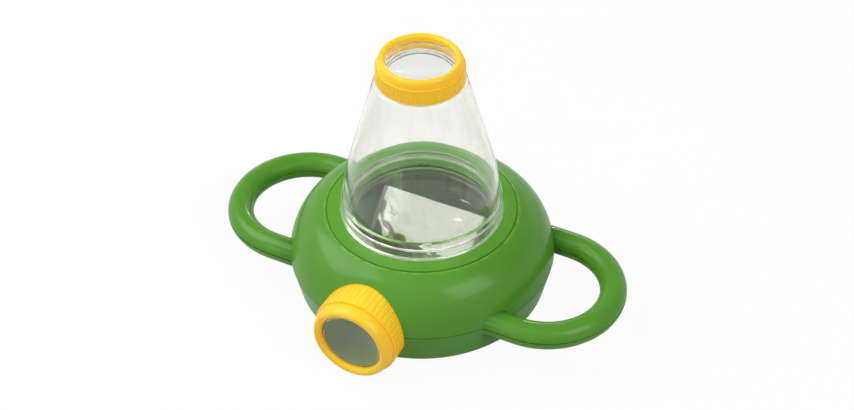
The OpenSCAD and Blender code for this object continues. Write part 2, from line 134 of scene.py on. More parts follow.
def outline(*corners: tuple[float, ...]) -> list[Corner]:
    """Return corners from their radius, height and fillet, which is 0 where it isn't given."""
    return [Corner(*corner) for corner in corners]


def rounded(corners: Sequence[Corner], steps: int = 4) -> list[Point]:
    """Round the corners of a closed section.

    Args:
        corners: The corners in order.
        steps: Steps in which a round is drawn.

    Returns:
        The section's points, with the same number for sections of the same corners.
    """
    points: list[Point] = []
    for index, corner in enumerate(corners):
        if corner.fillet <= 0:
            points.append((corner.r, corner.z))
            continue
        before = corners[index - 1]
        after = corners[(index + 1) % len(corners)]
        here = Vector((corner.r, corner.z))
        back = Vector((before.r, before.z)) - here
        ahead = Vector((after.r, after.z)) - here
        half = back.angle(ahead) / 2
        room = MOST_ROUND * min(back.length, ahead.length)
        reach = min(corner.fillet / math.tan(half), room)
        start = here + back.normalized() * reach
        end = here + ahead.normalized() * reach
        for step in range(steps + 1):
            share = step / steps
            low = start.lerp(here, share)
            high = here.lerp(end, share)
            near = low.lerp(high, share)
            points.append((near.x, near.y))
    return points


def arc(centre: Point, radii: Point, start: float, end: float, steps: int) -> list[Corner]:
    """Draw part of an ellipse as plain corners.

    Args:
        centre: Middle of the ellipse.
        radii: Its half axes.
        start: Angle of the first corner in degrees.
        end: Angle of the last corner in degrees.
        steps: Steps between the first corner and the last.

    Returns:
        The corners, both ends included.
    """
    corners = []
    for step in range(steps + 1):
        angle = math.radians(start + (end - start) * step / steps)
        out, up = radii[0] * math.cos(angle), radii[1] * math.sin(angle)
        corners.append(Corner(centre[0] + out, centre[1] + up))
    return corners


def raised(places: Iterable[Triple], height: float) -> list[Triple]:
    """Return places at another height."""
    return [(x, y, height) for x, y, _ in places]


def eye_place(along: float = 0.0) -> Matrix:
    """Return the matrix that lays the Z axis along the eyepiece's axis, from a distance on."""
    turned = Matrix.Rotation(math.pi / 2, 4, "X")
    return Matrix.Translation((0, 0, EYE_Z)) @ turned @ Matrix.Translation((0, 0, along))


def row_faces(rows: int, count: int) -> list[tuple[int, ...]]:
    """Return the faces between rows of points, each of which is a closed loop of count points."""
    faces = []
    for row in range(rows - 1):
        here = row * count
        there = here + count
        for index in range(count):
            after = (index + 1) % count
            faces.append((here + index, here + after, there + after, there + index))
    return faces


def new_mesh(points: Iterable[Sequence[float]], faces: Iterable[Sequence[int]]) -> bpy.types.Mesh:
    """Make a mesh whose faces point outwards.

    Args:
        points: The vertices.
        faces: The faces as indices of vertices.

    Returns:
        The mesh, with its doubles merged.
    """
    mesh = bpy.data.meshes.new("draft")
    mesh.from_pydata([tuple(p) for p in points], [], [tuple(f) for f in faces])
    work = bmesh.new()
    work.from_mesh(mesh)
    bmesh.ops.remove_doubles(work, verts=work.verts, dist=DOUBLE_GAP)
    bmesh.ops.recalc_face_normals(work, faces=work.faces)
    work.to_mesh(mesh)
    work.free()
    return mesh


def evaluated_copy(owner: bpy.types.Object) -> bpy.types.Mesh:
    """Return a plain mesh of what an object's modifiers make."""
    graph = bpy.context.evaluated_depsgraph_get()
    return bpy.data.meshes.new_from_object(owner.evaluated_get(graph), depsgraph=graph)


def linked_object(name: str, data: bpy.types.ID) -> bpy.types.Object:
    """Return a new object in the scene: a mesh, a lamp or a camera."""
    owner = bpy.data.objects.new(name, data)
    bpy.context.scene.collection.objects.link(owner)
    return owner


class Solid:
    """A closed mesh in millimetres."""

    def __init__(self, mesh: bpy.types.Mesh) -> None:
        """Keep the mesh."""
        self.mesh = mesh

    @classmethod
    def turned(
        cls, corners: Sequence[Corner], segments: int = FINE_TURN, steps: int = 4
    ) -> "Solid":
        """Turn a closed section about the Z axis.

        Args:
            corners: Corners of the section.
            segments: Steps in a whole turn.
            steps: Steps in which a rounded corner is drawn.

        Returns:
            The turned solid, with its poles closed.
        """
        points: list[Triple] = []
        rows: list[list[int]] = []
        for radius, height in rounded(corners, steps):
            first = len(points)
            if radius < ON_AXIS:
                points.append((0.0, 0.0, height))
                rows.append([first] * segments)
                continue
            for step in range(segments):
                angle = math.tau * step / segments
                points.append((radius * math.cos(angle), radius * math.sin(angle), height))
            rows.append(list(range(first, first + segments)))
        faces = []
        for index, row in enumerate(rows):
            other = rows[(index + 1) % len(rows)]
            for step in range(segments):
                after = (step + 1) % segments
                face = dict.fromkeys((row[step], row[after], other[after], other[step]))
                if len(face) > 2:
                    faces.append(tuple(face))
        return cls(new_mesh(points, faces))

    @classmethod
    def bar(cls, radius: float, low: float, high: float, segments: int = SMALL_TURN) -> "Solid":
        """Return a plain round bar along the Z axis, for joining or cutting."""
        return cls.turned(outline((0, low), (radius, low), (radius, high), (0, high)), segments)

    @classmethod
    def swept(
        cls, section: Sequence[Point], path: Sequence[tuple[Point, Point]], height: float
    ) -> "Solid":
        """Sweep a section along a level path and close its ends.

        Args:
            section: Points across the path and above it.
            path: Each place on the path with the direction across it.
            height: Height of the path.

        Returns:
            The swept solid.
        """
        points = []
        for place, across in path:
            for out, up in section:
                points.append((place[0] + across[0] * out, place[1] + across[1] * out, height + up))
        count = len(section)
        ends = [tuple(range(count)), tuple(range(len(points) - count, len(points)))]
        return cls(new_mesh(points, row_faces(len(path), count) + ends))

    @classmethod
    def block(cls, low: Triple, high: Triple, edge: float) -> "Solid":
        """Make a block with rounded edges.

        Args:
            low: One corner.
            high: The opposite corner.
            edge: Radius of its edges.

        Returns:
            The block.
        """
        work = bmesh.new()
        bmesh.ops.create_cube(work, size=1.0)
        for vertex in work.verts:
            vertex.co = [(a + b) / 2 + c * abs(b - a) for a, b, c in zip(low, high, vertex.co)]
        bmesh.ops.bevel(
            work, geom=list(work.edges), offset=edge, segments=3, profile=0.5, affect="EDGES"
        )
        mesh = bpy.data.meshes.new("block")
        work.to_mesh(mesh)
        work.free()
        return cls(mesh)

    def combined(self, how: Combine, others: Sequence["Solid"]) -> "Solid":
        """Join this solid with others in turn, cut it or keep what they share.

        Args:
            how: What each of the others does to this one.
            others: The other solids.

        Returns:
            The result as a new solid.
        """
        mesh = self.mesh
        for other in others:
            first = linked_object("first", mesh)
            second = linked_object("second", other.mesh)
            step = first.modifiers.new("combine", "BOOLEAN")
            step.operation = how.value
            step.solver = "MANIFOLD"
            step.object = second
            mesh = evaluated_copy(first)
            bpy.data.objects.remove(first)
            bpy.data.objects.remove(second)
        return Solid(mesh)

    def join(self, *others: "Solid") -> "Solid":
        """Return this solid joined with others."""
        return self.combined(Combine.JOIN, others)

    def cut(self, *others: "Solid") -> "Solid":
        """Return this solid cut by others."""
        return self.combined(Combine.CUT, others)

    def keep(self, *others: "Solid") -> "Solid":
        """Return what this solid shares with others."""
        return self.combined(Combine.KEEP, others)

    def placed(self, matrix: Matrix) -> "Solid":
        """Return a copy of this solid moved by a matrix, with its faces still outwards."""
        mesh = self.mesh.copy()
        mesh.transform(matrix)
        if matrix.determinant() < 0:
            mesh.flip_normals()
        return Solid(mesh)

    def at(self, places: Iterable[Triple]) -> list["Solid"]:
        """Return a copy of this solid at each place."""
        return [self.placed(Matrix.Translation(place)) for place in places]

    def piece(
        self, name: str, finish: "Finish", body: Body, slot: Slot, nodes: Sequence[str]
    ) -> None:
        """Finish this solid as a piece of the model.

        Args:
            name: Name of the piece.
            finish: Its finish.
            body: The body that it rides on.
            slot: The record's slot of its material; not used.
            nodes: The CAD nodes that it stands for.
        """
        mesh = self.mesh.copy()
        mesh.name = name
        mesh.transform(Matrix.Scale(MM, 4))
        mesh.materials.clear()
        mesh.materials.append(finish.material())
        mesh.polygons.foreach_set("material_index", [0] * len(mesh.polygons))
        mesh.shade_smooth()
        mesh.set_sharp_from_angle(angle=SHARP_ANGLE)
        owner = linked_object(name, mesh)
        weighted = owner.modifiers.new("even_normals", "WEIGHTED_NORMAL")
        weighted.keep_sharp = True
        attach(owner, body.value)
        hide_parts(*nodes)
        log.info("%s: %d faces on %s", name, len(mesh.polygons), body.value)


def math_node(kind: str, turned: bool = False) -> Callable[["Wire", "Value"], "Wire"]:
    """Make a method that puts two values into a Math node.

    Args:
        kind: The node's operation.
        turned: True if the other value comes first.

    Returns:
        The method.
    """

    def method(self: "Wire", other: "Value") -> "Wire":
        """Return what the node makes of this wire and another value."""
        inputs = {0: other, 1: self} if turned else {0: self, 1: other}
        return self.graph.add("ShaderNodeMath", {"operation": kind}, inputs)

    return method


class Wire:
    """A node's output that can be used in sums as a number would be."""

    def __init__(self, graph: "Graph", socket: bpy.types.NodeSocket) -> None:
        """Keep the graph and the socket."""
        self.graph = graph
        self.socket = socket

    def out(self, name: str | int) -> "Wire":
        """Return another output of the same node."""
        return Wire(self.graph, self.socket.node.outputs[name])

    __add__ = math_node("ADD")
    __radd__ = math_node("ADD", turned=True)
    __sub__ = math_node("SUBTRACT")
    __rsub__ = math_node("SUBTRACT", turned=True)
    __mul__ = math_node("MULTIPLY")
    __rmul__ = math_node("MULTIPLY", turned=True)
    __truediv__ = math_node("DIVIDE")
    __rtruediv__ = math_node("DIVIDE", turned=True)
    most = math_node("MAXIMUM")
    least = math_node("MINIMUM")


Value = Wire | float | int | Sequence[float] | bpy.types.ID


class Graph:
    """A node tree with one method that adds a node of any type."""

    def __init__(self, tree: bpy.types.NodeTree) -> None:
        """Keep the tree."""
        self.tree = tree

    def add(
        self,
        kind: str,
        settings: dict[str, object] | None = None,
        inputs: dict[str | int, "Value"] | None = None,
        output: str | int = 0,
    ) -> Wire:
        """Add a node, set it and link it.

        Args:
            kind: The node's type.
            settings: Its properties, set before its sockets.
            inputs: Values or wires of its inputs, by name or index.
            output: The output that is returned.

        Returns:
            The wire of that output.
        """
        node = self.tree.nodes.new(kind)
        for name, value in (settings or {}).items():
            setattr(node, name, value)
        for key, value in (inputs or {}).items():
            socket = node.inputs[key]
            if isinstance(value, Wire):
                self.tree.links.new(value.socket, socket)
            else:
                socket.default_value = value
        if not node.outputs:
            return Wire(self, node.inputs[0])
        return Wire(self, node.outputs[output])

    def mix_colour(self, factor: Value, first: Value, second: Value) -> Value:
        """Return a mix of two colours by a factor, or their one colour if they are the same."""
        if first == second:
            return first
        return self.add(
            "ShaderNodeMix", {"data_type": "RGBA"}, {0: factor, 6: first, 7: second}, 2
        )

    def spread(
        self, value: Value, low: float, high: float, to_low: float = 0.0, to_high: float = 1.0
    ) -> Wire:
        """Return a value with one range mapped to another and held within it."""
        ranges = {"From Min": low, "From Max": high, "To Min": to_low, "To Max": to_high}
        return self.add("ShaderNodeMapRange", {"clamp": True}, {"Value": value, **ranges})


class ShaderGraph(Graph):
    """The node tree of one material."""

    def __init__(self, name: str) -> None:
        """Make an empty material."""
        self.made = bpy.data.materials.new(name)
        self.made.use_nodes = True
        self.made.node_tree.nodes.clear()
        super().__init__(self.made.node_tree)
        self.place = self.add("ShaderNodeTexCoord", output="Object")

    def noise(self, size: float, detail: float = 2.0, stretch: Sequence[float] = (1, 1, 1)) -> Wire:
        """Add noise over the object.

        Args:
            size: Size of its features in millimetres.
            detail: Finer layers on top.
            stretch: How much the features are squeezed along each axis.

        Returns:
            The noise, about 0 to 1.
        """
        where = self.add("ShaderNodeMapping", {}, {"Vector": self.place, "Scale": stretch})
        inputs = {"Vector": where, "Scale": 1 / (size * MM), "Detail": detail}
        return self.add("ShaderNodeTexNoise", {}, inputs)

    def bump(self, height: Value, depth: float, under: Wire | None = None) -> Wire:
        """Add a bump of a depth in millimetres, on top of another bump if there is one."""
        inputs = {"Strength": 1.0, "Distance": depth * MM, "Height": height}
        if under:
            inputs["Normal"] = under
        return self.add("ShaderNodeBump", {}, inputs)

    def surface(self, inputs: dict[str | int, Value]) -> Wire:
        """Return a Principled shader with its inputs set."""
        return self.add("ShaderNodeBsdfPrincipled", {"subsurface_method": "RANDOM_WALK"}, inputs)

    def finish(self, shader: Wire) -> bpy.types.Material:
        """Show a shader and return the material."""
        self.add("ShaderNodeOutputMaterial", {}, {"Surface": shader})
        return self.made


class Finish:
    """A finish that makes its material once."""

    name: str

    def build(self) -> bpy.types.Material:
        """Build the material."""
        raise NotImplementedError

    def material(self) -> bpy.types.Material:
        """Return the material, built at its first use."""
        return bpy.data.materials.get(self.name) or self.build()


@dataclass(frozen=True)
class MouldedPlastic(Finish):
    """Opaque moulded plastic with a fine grain, slow mottling, a little shine, painted shade in its
    creases and painted highlights on its edges.
    """

    name: str
    colour: Colour
    deep: Colour
    # Painted shade: a darker colour put into concave creases.
    crease_shade: Colour
    # Painted highlight: a lighter colour put on convex edges.
    edge: Colour
    roughness: float = 0.3
    roughness_change: float = 0.08
    refraction: float = 1.5
    shine: float = 0.2
    grain_size: float = 0.7
    grain_depth: float = 0.012
    wave_size: float = 9.0
    wave_depth: float = 0.05
    mottle_size: float = 26.0
    coat: float = 0.2
    coat_roughness: float = 0.06
    glow: float = 0.0
    glow_depth: float = 3.0
    glow_spread: Triple = (1.0, 0.36, 0.06)
    # Painted glow: an orange emission that lifts the shaded parts, though the plastic is no lamp.
    painted_glow: float = 0.0
    painted_glow_colour: Colour = (1.0, 0.22, 0.0, 1.0)
    # Pointiness ranges of the painted crease shade and the painted edge highlight.
    crease_shade_bend: Span = (0.49, 0.43)
    edge_highlight_bend: Span = (0.54, 0.64)

    def build(self) -> bpy.types.Material:
        """Build the material."""
        graph = ShaderGraph(self.name)
        mottle = graph.noise(self.mottle_size, detail=3.0)
        grain = graph.noise(self.grain_size, detail=2.0)
        wave = graph.noise(self.wave_size, detail=1.0)
        bend = graph.add("ShaderNodeNewGeometry", output="Pointiness")
        spots = graph.spread(mottle, NOISE_LOW, NOISE_HIGH)
        colour = graph.mix_colour(spots, self.deep, self.colour)
        # Painted shade in concave creases, then painted highlights on convex edges, both by
        # pointiness.
        colour = graph.mix_colour(graph.spread(bend, *self.crease_shade_bend), colour, self.crease_shade)
        colour = graph.mix_colour(graph.spread(bend, *self.edge_highlight_bend), colour, self.edge)
        low = self.roughness - self.roughness_change / 2
        high = self.roughness + self.roughness_change / 2
        rough = graph.spread(mottle * 0.5 + grain * 0.5, NOISE_LOW, NOISE_HIGH, low, high)
        fine = graph.bump(grain, self.grain_depth, graph.bump(wave, self.wave_depth))
        shader = graph.surface(
            {
                "Base Color": colour,
                "Roughness": rough,
                "IOR": self.refraction,
                "Specular IOR Level": self.shine,
                "Normal": fine,
                "Coat Weight": self.coat,
                "Coat Roughness": self.coat_roughness,
                "Subsurface Weight": self.glow,
                "Subsurface Radius": self.glow_spread,
                "Subsurface Scale": self.glow_depth * MM,
                # Painted glow: emission that lifts the red of shaded parts.
                "Emission Color": self.painted_glow_colour,
                "Emission Strength": self.painted_glow,
            },
        )
        return graph.finish(shader)


@dataclass(frozen=True)
class ClearPlastic(Finish):
    """Clear moulded plastic with slow ripples, faint streaks along its height and a light tint."""

    name: str
    tint: Colour
    streak_tint: Colour
    roughness: float = 0.03
    streak_roughness: float = 0.05
    refraction: float = 1.49
    shine: float = 0.25
    clearness: float = 0.95
    ripple_size: float = 16.0
    ripple_depth: float = 0.1
    ripple_stretch: float = 0.4
    streak_size: float = 6.0
    streak_depth: float = 0.06
    streak_stretch: float = 0.08
    streak_range: Span = (0.42, 0.6)
    rough_range: Span = (0.35, 0.7)

    def build(self) -> bpy.types.Material:
        """Build the material."""
        graph = ShaderGraph(self.name)
        ripple = graph.noise(self.ripple_size, 1.5, (1, 1, self.ripple_stretch))
        streak = graph.noise(self.streak_size, 2.0, (1, 1, self.streak_stretch))
        rougher = self.roughness + self.streak_roughness
        rough = graph.spread(streak, *self.rough_range, self.roughness, rougher)
        tinted = graph.spread(streak, *self.streak_range)
        bend = graph.bump(streak, self.streak_depth, graph.bump(ripple, self.ripple_depth))
        shader = graph.surface(
            {
                "Base Color": graph.mix_colour(tinted, self.tint, self.streak_tint),
                "Roughness": rough,
                "IOR": self.refraction,
                "Specular IOR Level": self.shine,
                "Transmission Weight": self.clearness,
                "Normal": bend,
            },
        )
        passing = graph.add("ShaderNodeBsdfTransparent", {}, {"Color": self.tint})
        shadow = graph.add("ShaderNodeLightPath", output="Is Shadow Ray")
        shown = graph.add("ShaderNodeMixShader", {}, {0: shadow, 1: shader, 2: passing})
        return graph.finish(shown)


@dataclass(frozen=True)
class Metal(Finish):
    """Bare metal with duller patches and a relief of marks or of a slight sag."""

    name: str
    colour: Colour
    dull: Colour
    roughness: float
    dullness: float
    patch_size: float
    relief_size: float
    relief_depth: float
    patch_range: Span = (NOISE_LOW, NOISE_HIGH)
    patch_stretch: Triple = (1.0, 1.0, 1.0)
    relief_stretch: Triple = (1.0, 1.0, 1.0)

    def build(self) -> bpy.types.Material:
        """Build the material."""
        graph = ShaderGraph(self.name)
        patch = graph.noise(self.patch_size, 3.0, self.patch_stretch)
        relief = graph.noise(self.relief_size, 1.0, self.relief_stretch)
        rougher = self.roughness + self.dullness
        shader = graph.surface(
            {
                "Base Color": graph.mix_colour(patch, self.colour, self.dull),
                "Metallic": 1.0,
                "Roughness": graph.spread(patch, *self.patch_range, self.roughness, rougher),
                "Normal": graph.bump(relief, self.relief_depth),
            }
        )
        return graph.finish(shader)


# Its crease colour is painted shade and its edge colour a painted highlight.
GREEN = MouldedPlastic(
    "leaf_green_plastic",
    linear(95, 163, 48),
    linear(88, 155, 43),
    crease_shade=linear(46, 110, 22),
    edge=linear(118, 182, 64),
)
# Its crease colour is painted shade, its edge colour a painted highlight, and its orange emission a
# painted glow that lifts its shaded sides.
YELLOW = MouldedPlastic(
    "sun_yellow_plastic",
    linear(255, 226, 50),
    linear(255, 220, 44),
    crease_shade=linear(240, 200, 44),
    edge=linear(255, 234, 90),
    shine=0.3,
    glow=0.6,
    glow_depth=1.6,
    painted_glow=0.19,
)
# Painted light: a lighter copy of the green, standing in for light that hardly reaches inside the
# barrel. Its crease colour is painted shade and its edge colour a painted highlight.
BRIGHTENED_INNER_GREEN = MouldedPlastic(
    "brightened_inner_green_plastic",
    linear(130, 162, 76),
    linear(120, 152, 68),
    crease_shade=linear(96, 128, 50),
    edge=linear(150, 180, 96),
    roughness=0.42,
    coat=0.0,
)
# Its crease colour is painted shade and its edge colour a painted highlight.
GREY = MouldedPlastic(
    "grey_plastic",
    linear(142, 144, 142),
    linear(130, 132, 130),
    crease_shade=linear(86, 88, 86),
    edge=linear(166, 168, 166),
    roughness=0.42,
    coat=0.0,
)
CONE_CLEAR = ClearPlastic(
    "cone_clear_plastic",
    (0.986, 0.99, 0.95, 1.0),
    (0.962, 0.966, 0.925, 1.0),
    refraction=1.37,
    shine=0.5,
    clearness=0.99,
    ripple_depth=0.05,
    streak_size=5.0,
    streak_depth=0.04,
)
DISH_CLEAR = ClearPlastic(
    "dish_clear_plastic",
    (0.972, 0.98, 0.955, 1.0),
    (0.955, 0.968, 0.935, 1.0),
    clearness=0.996,
    ripple_size=12.0,
    ripple_depth=0.4,
)
LENS_CLEAR = ClearPlastic(
    "lens_clear_plastic",
    (0.975, 0.98, 0.965, 1.0),
    (0.965, 0.972, 0.955, 1.0),
    roughness=0.01,
    streak_roughness=0.01,
    shine=0.45,
    clearness=0.997,
    ripple_size=9.0,
    ripple_depth=0.05,
    streak_depth=0.0,
)
EYE_CLEAR = ClearPlastic(
    "eye_clear_plastic",
    (0.99, 0.985, 0.975, 1.0),
    (0.88, 0.94, 0.87, 1.0),
    roughness=0.01,
    streak_roughness=0.01,
    shine=0.5,
    clearness=0.997,
    ripple_size=8.0,
    ripple_depth=0.4,
    streak_size=11.0,
    streak_depth=0.0,
    streak_stretch=1.0,
)
SILVER = Metal(
    "mirror_silvering",
    linear(236, 238, 236),
    linear(236, 238, 236),
    roughness=0.02,
    dullness=0.05,
    patch_size=14.0,
    relief_size=14.0,
    relief_depth=1.0,
    patch_range=(0.4, 0.75),
    patch_stretch=(1.0, 0.3, 0.3),
)
STEEL = Metal(
    "plated_steel",
    linear(196, 198, 200),
    linear(160, 162, 166),
    roughness=0.26,
    dullness=0.2,
    patch_size=2.2,
    relief_size=0.35,
    relief_depth=0.008,
    relief_stretch=(0.3, 0.3, 4.0),
)


class GeometryTree(Graph):
    """A Geometry Nodes tree with named inputs, used for one modifier."""

    def __init__(self, name: str, **inputs: str) -> None:
        """Make the tree's interface.

        Args:
            name: Name of the tree.
            inputs: Types of its inputs by their names, after the geometry.
        """
        super().__init__(bpy.data.node_groups.new(name, "GeometryNodeTree"))
        self.keys = {
            label: self.socket(label, kind, "INPUT")
            for label, kind in {"Geometry": "Geometry", **inputs, "Material": "Material"}.items()
        }
        self.socket("Geometry", "Geometry", "OUTPUT")
        self.source = self.add("NodeGroupInput")

    def socket(self, label: str, kind: str, side: str) -> str:
        """Add a socket to the tree's interface and return its key."""
        face = self.tree.interface
        return face.new_socket(label, in_out=side, socket_type=f"NodeSocket{kind}").identifier

    def value(self, label: str) -> Wire:
        """Return one of the tree's inputs."""
        return self.source.out(label)

    def end(self, geometry: Wire) -> None:
        """Realize the geometry, give it its material and put it out."""
        real = self.add("GeometryNodeRealizeInstances", {}, {"Geometry": geometry})
        dressed = self.add(
            "GeometryNodeSetMaterial", {}, {"Geometry": real, "Material": self.value("Material")}
        )
        self.add("NodeGroupOutput", {}, {0: dressed})

    def solid(self, start: bpy.types.Mesh, values: dict[str, object]) -> Solid:
        """Run the tree on a mesh.

        Args:
            start: The mesh that the modifier begins with.
            values: Values of the named inputs.

        Returns:
            The plain result.
        """
        owner = linked_object("start", start)
        step = owner.modifiers.new("nodes", "NODES")
        step.node_group = self.tree
        for label, value in values.items():
            step[self.keys[label]] = value
        mesh = evaluated_copy(owner)
        owner.modifiers.clear()
        bpy.data.objects.remove(owner)
        return Solid(mesh)


class Repeats:
    """Three Geometry Nodes trees: sectors round an axis, a screw thread, and copies at places."""

    turn_steps: int = 72
    wire_steps: int = 12
    fade_rate: float = 12.0
    fade_start: float = 0.25

    def __init__(self) -> None:
        """Build the trees."""
        self.sectors = self._sectors()
        self.thread = self._thread()
        self.copies = self._copies()

    @staticmethod
    def _sectors() -> GeometryTree:
        """Build the tree that sets a sector round the Z axis and welds it to its neighbours."""
        tree = GeometryTree("sectors_round_axis", Count="Int", Weld="Float")
        count = tree.value("Count")
        spots = {"Count": count, "Offset": (0, 0, 0)}
        line = tree.add("GeometryNodeMeshLine", {"mode": "OFFSET"}, spots)
        index = tree.add("GeometryNodeInputIndex")
        turn = tree.add("ShaderNodeCombineXYZ", {}, {"Z": index * math.tau / count})
        inputs = {"Points": line, "Instance": tree.value("Geometry"), "Rotation": turn}
        ring = tree.add("GeometryNodeInstanceOnPoints", {}, inputs)
        real = tree.add("GeometryNodeRealizeInstances", {}, {"Geometry": ring})
        near = {"Geometry": real, "Distance": tree.value("Weld")}
        tree.end(tree.add("GeometryNodeMergeByDistance", {}, near))
        return tree

    def _thread(self) -> GeometryTree:
        """Build the tree of a round ridge that winds up the Z axis and fades at both ends."""
        sizes = dict.fromkeys(("Radius", "Ridge", "Turns", "Height", "Start"), "Float")
        tree = GeometryTree("thread_ridge", **sizes)
        radius = tree.value("Radius")
        winding = {
            "Resolution": self.turn_steps,
            "Rotations": tree.value("Turns"),
            "Start Radius": radius,
            "End Radius": radius,
            "Height": tree.value("Height"),
        }
        spiral = tree.add("GeometryNodeCurveSpiral", {}, winding)
        along = tree.add("GeometryNodeSplineParameter", output="Factor")
        fade = (along.least(1 - along) * self.fade_rate + self.fade_start).least(1.0)
        shaped = tree.add("GeometryNodeSetCurveRadius", {}, {"Curve": spiral, "Radius": fade})
        circle = {"Resolution": self.wire_steps, "Radius": tree.value("Ridge")}
        round_wire = tree.add("GeometryNodeCurvePrimitiveCircle", {}, circle)
        inputs = {
            "Curve": shaped,
            "Profile Curve": round_wire,
            "Scale": tree.add("GeometryNodeInputRadius"),
            "Fill Caps": True,
        }
        ridge = tree.add("GeometryNodeCurveToMesh", {}, inputs)
        lift = tree.add("ShaderNodeCombineXYZ", {}, {"Z": tree.value("Start")})
        tree.end(
            tree.add("GeometryNodeTransform", {}, {"Geometry": ridge, "Translation": lift})
        )
        return tree

    @staticmethod
    def _copies() -> GeometryTree:
        """Build the tree that sets copies of one object at the points of the mesh."""
        tree = GeometryTree("copies_at_points", Piece="Object")
        one = tree.add("GeometryNodeObjectInfo", {}, {"Object": tree.value("Piece")}, "Geometry")
        points = tree.value("Geometry")
        tree.end(
            tree.add("GeometryNodeInstanceOnPoints", {}, {"Points": points, "Instance": one})
        )
        return tree

    def ridge(self, radius: float, height: float, low: float, high: float, pitch: float) -> Solid:
        """Make a thread's ridge.

        Args:
            radius: Radius of the tube that it stands on.
            height: How far it stands out.
            low: Where it begins.
            high: Where it ends.
            pitch: Its rise in one turn.

        Returns:
            The ridge, partly sunk in the tube.
        """
        wire = 2 * height
        return self.thread.solid(
            bpy.data.meshes.new("empty"),
            {
                "Radius": radius + height - wire,
                "Ridge": wire,
                "Turns": (high - low) / pitch,
                "Height": high - low,
                "Start": low,
                "Material": STEEL.material(),
            },
        )


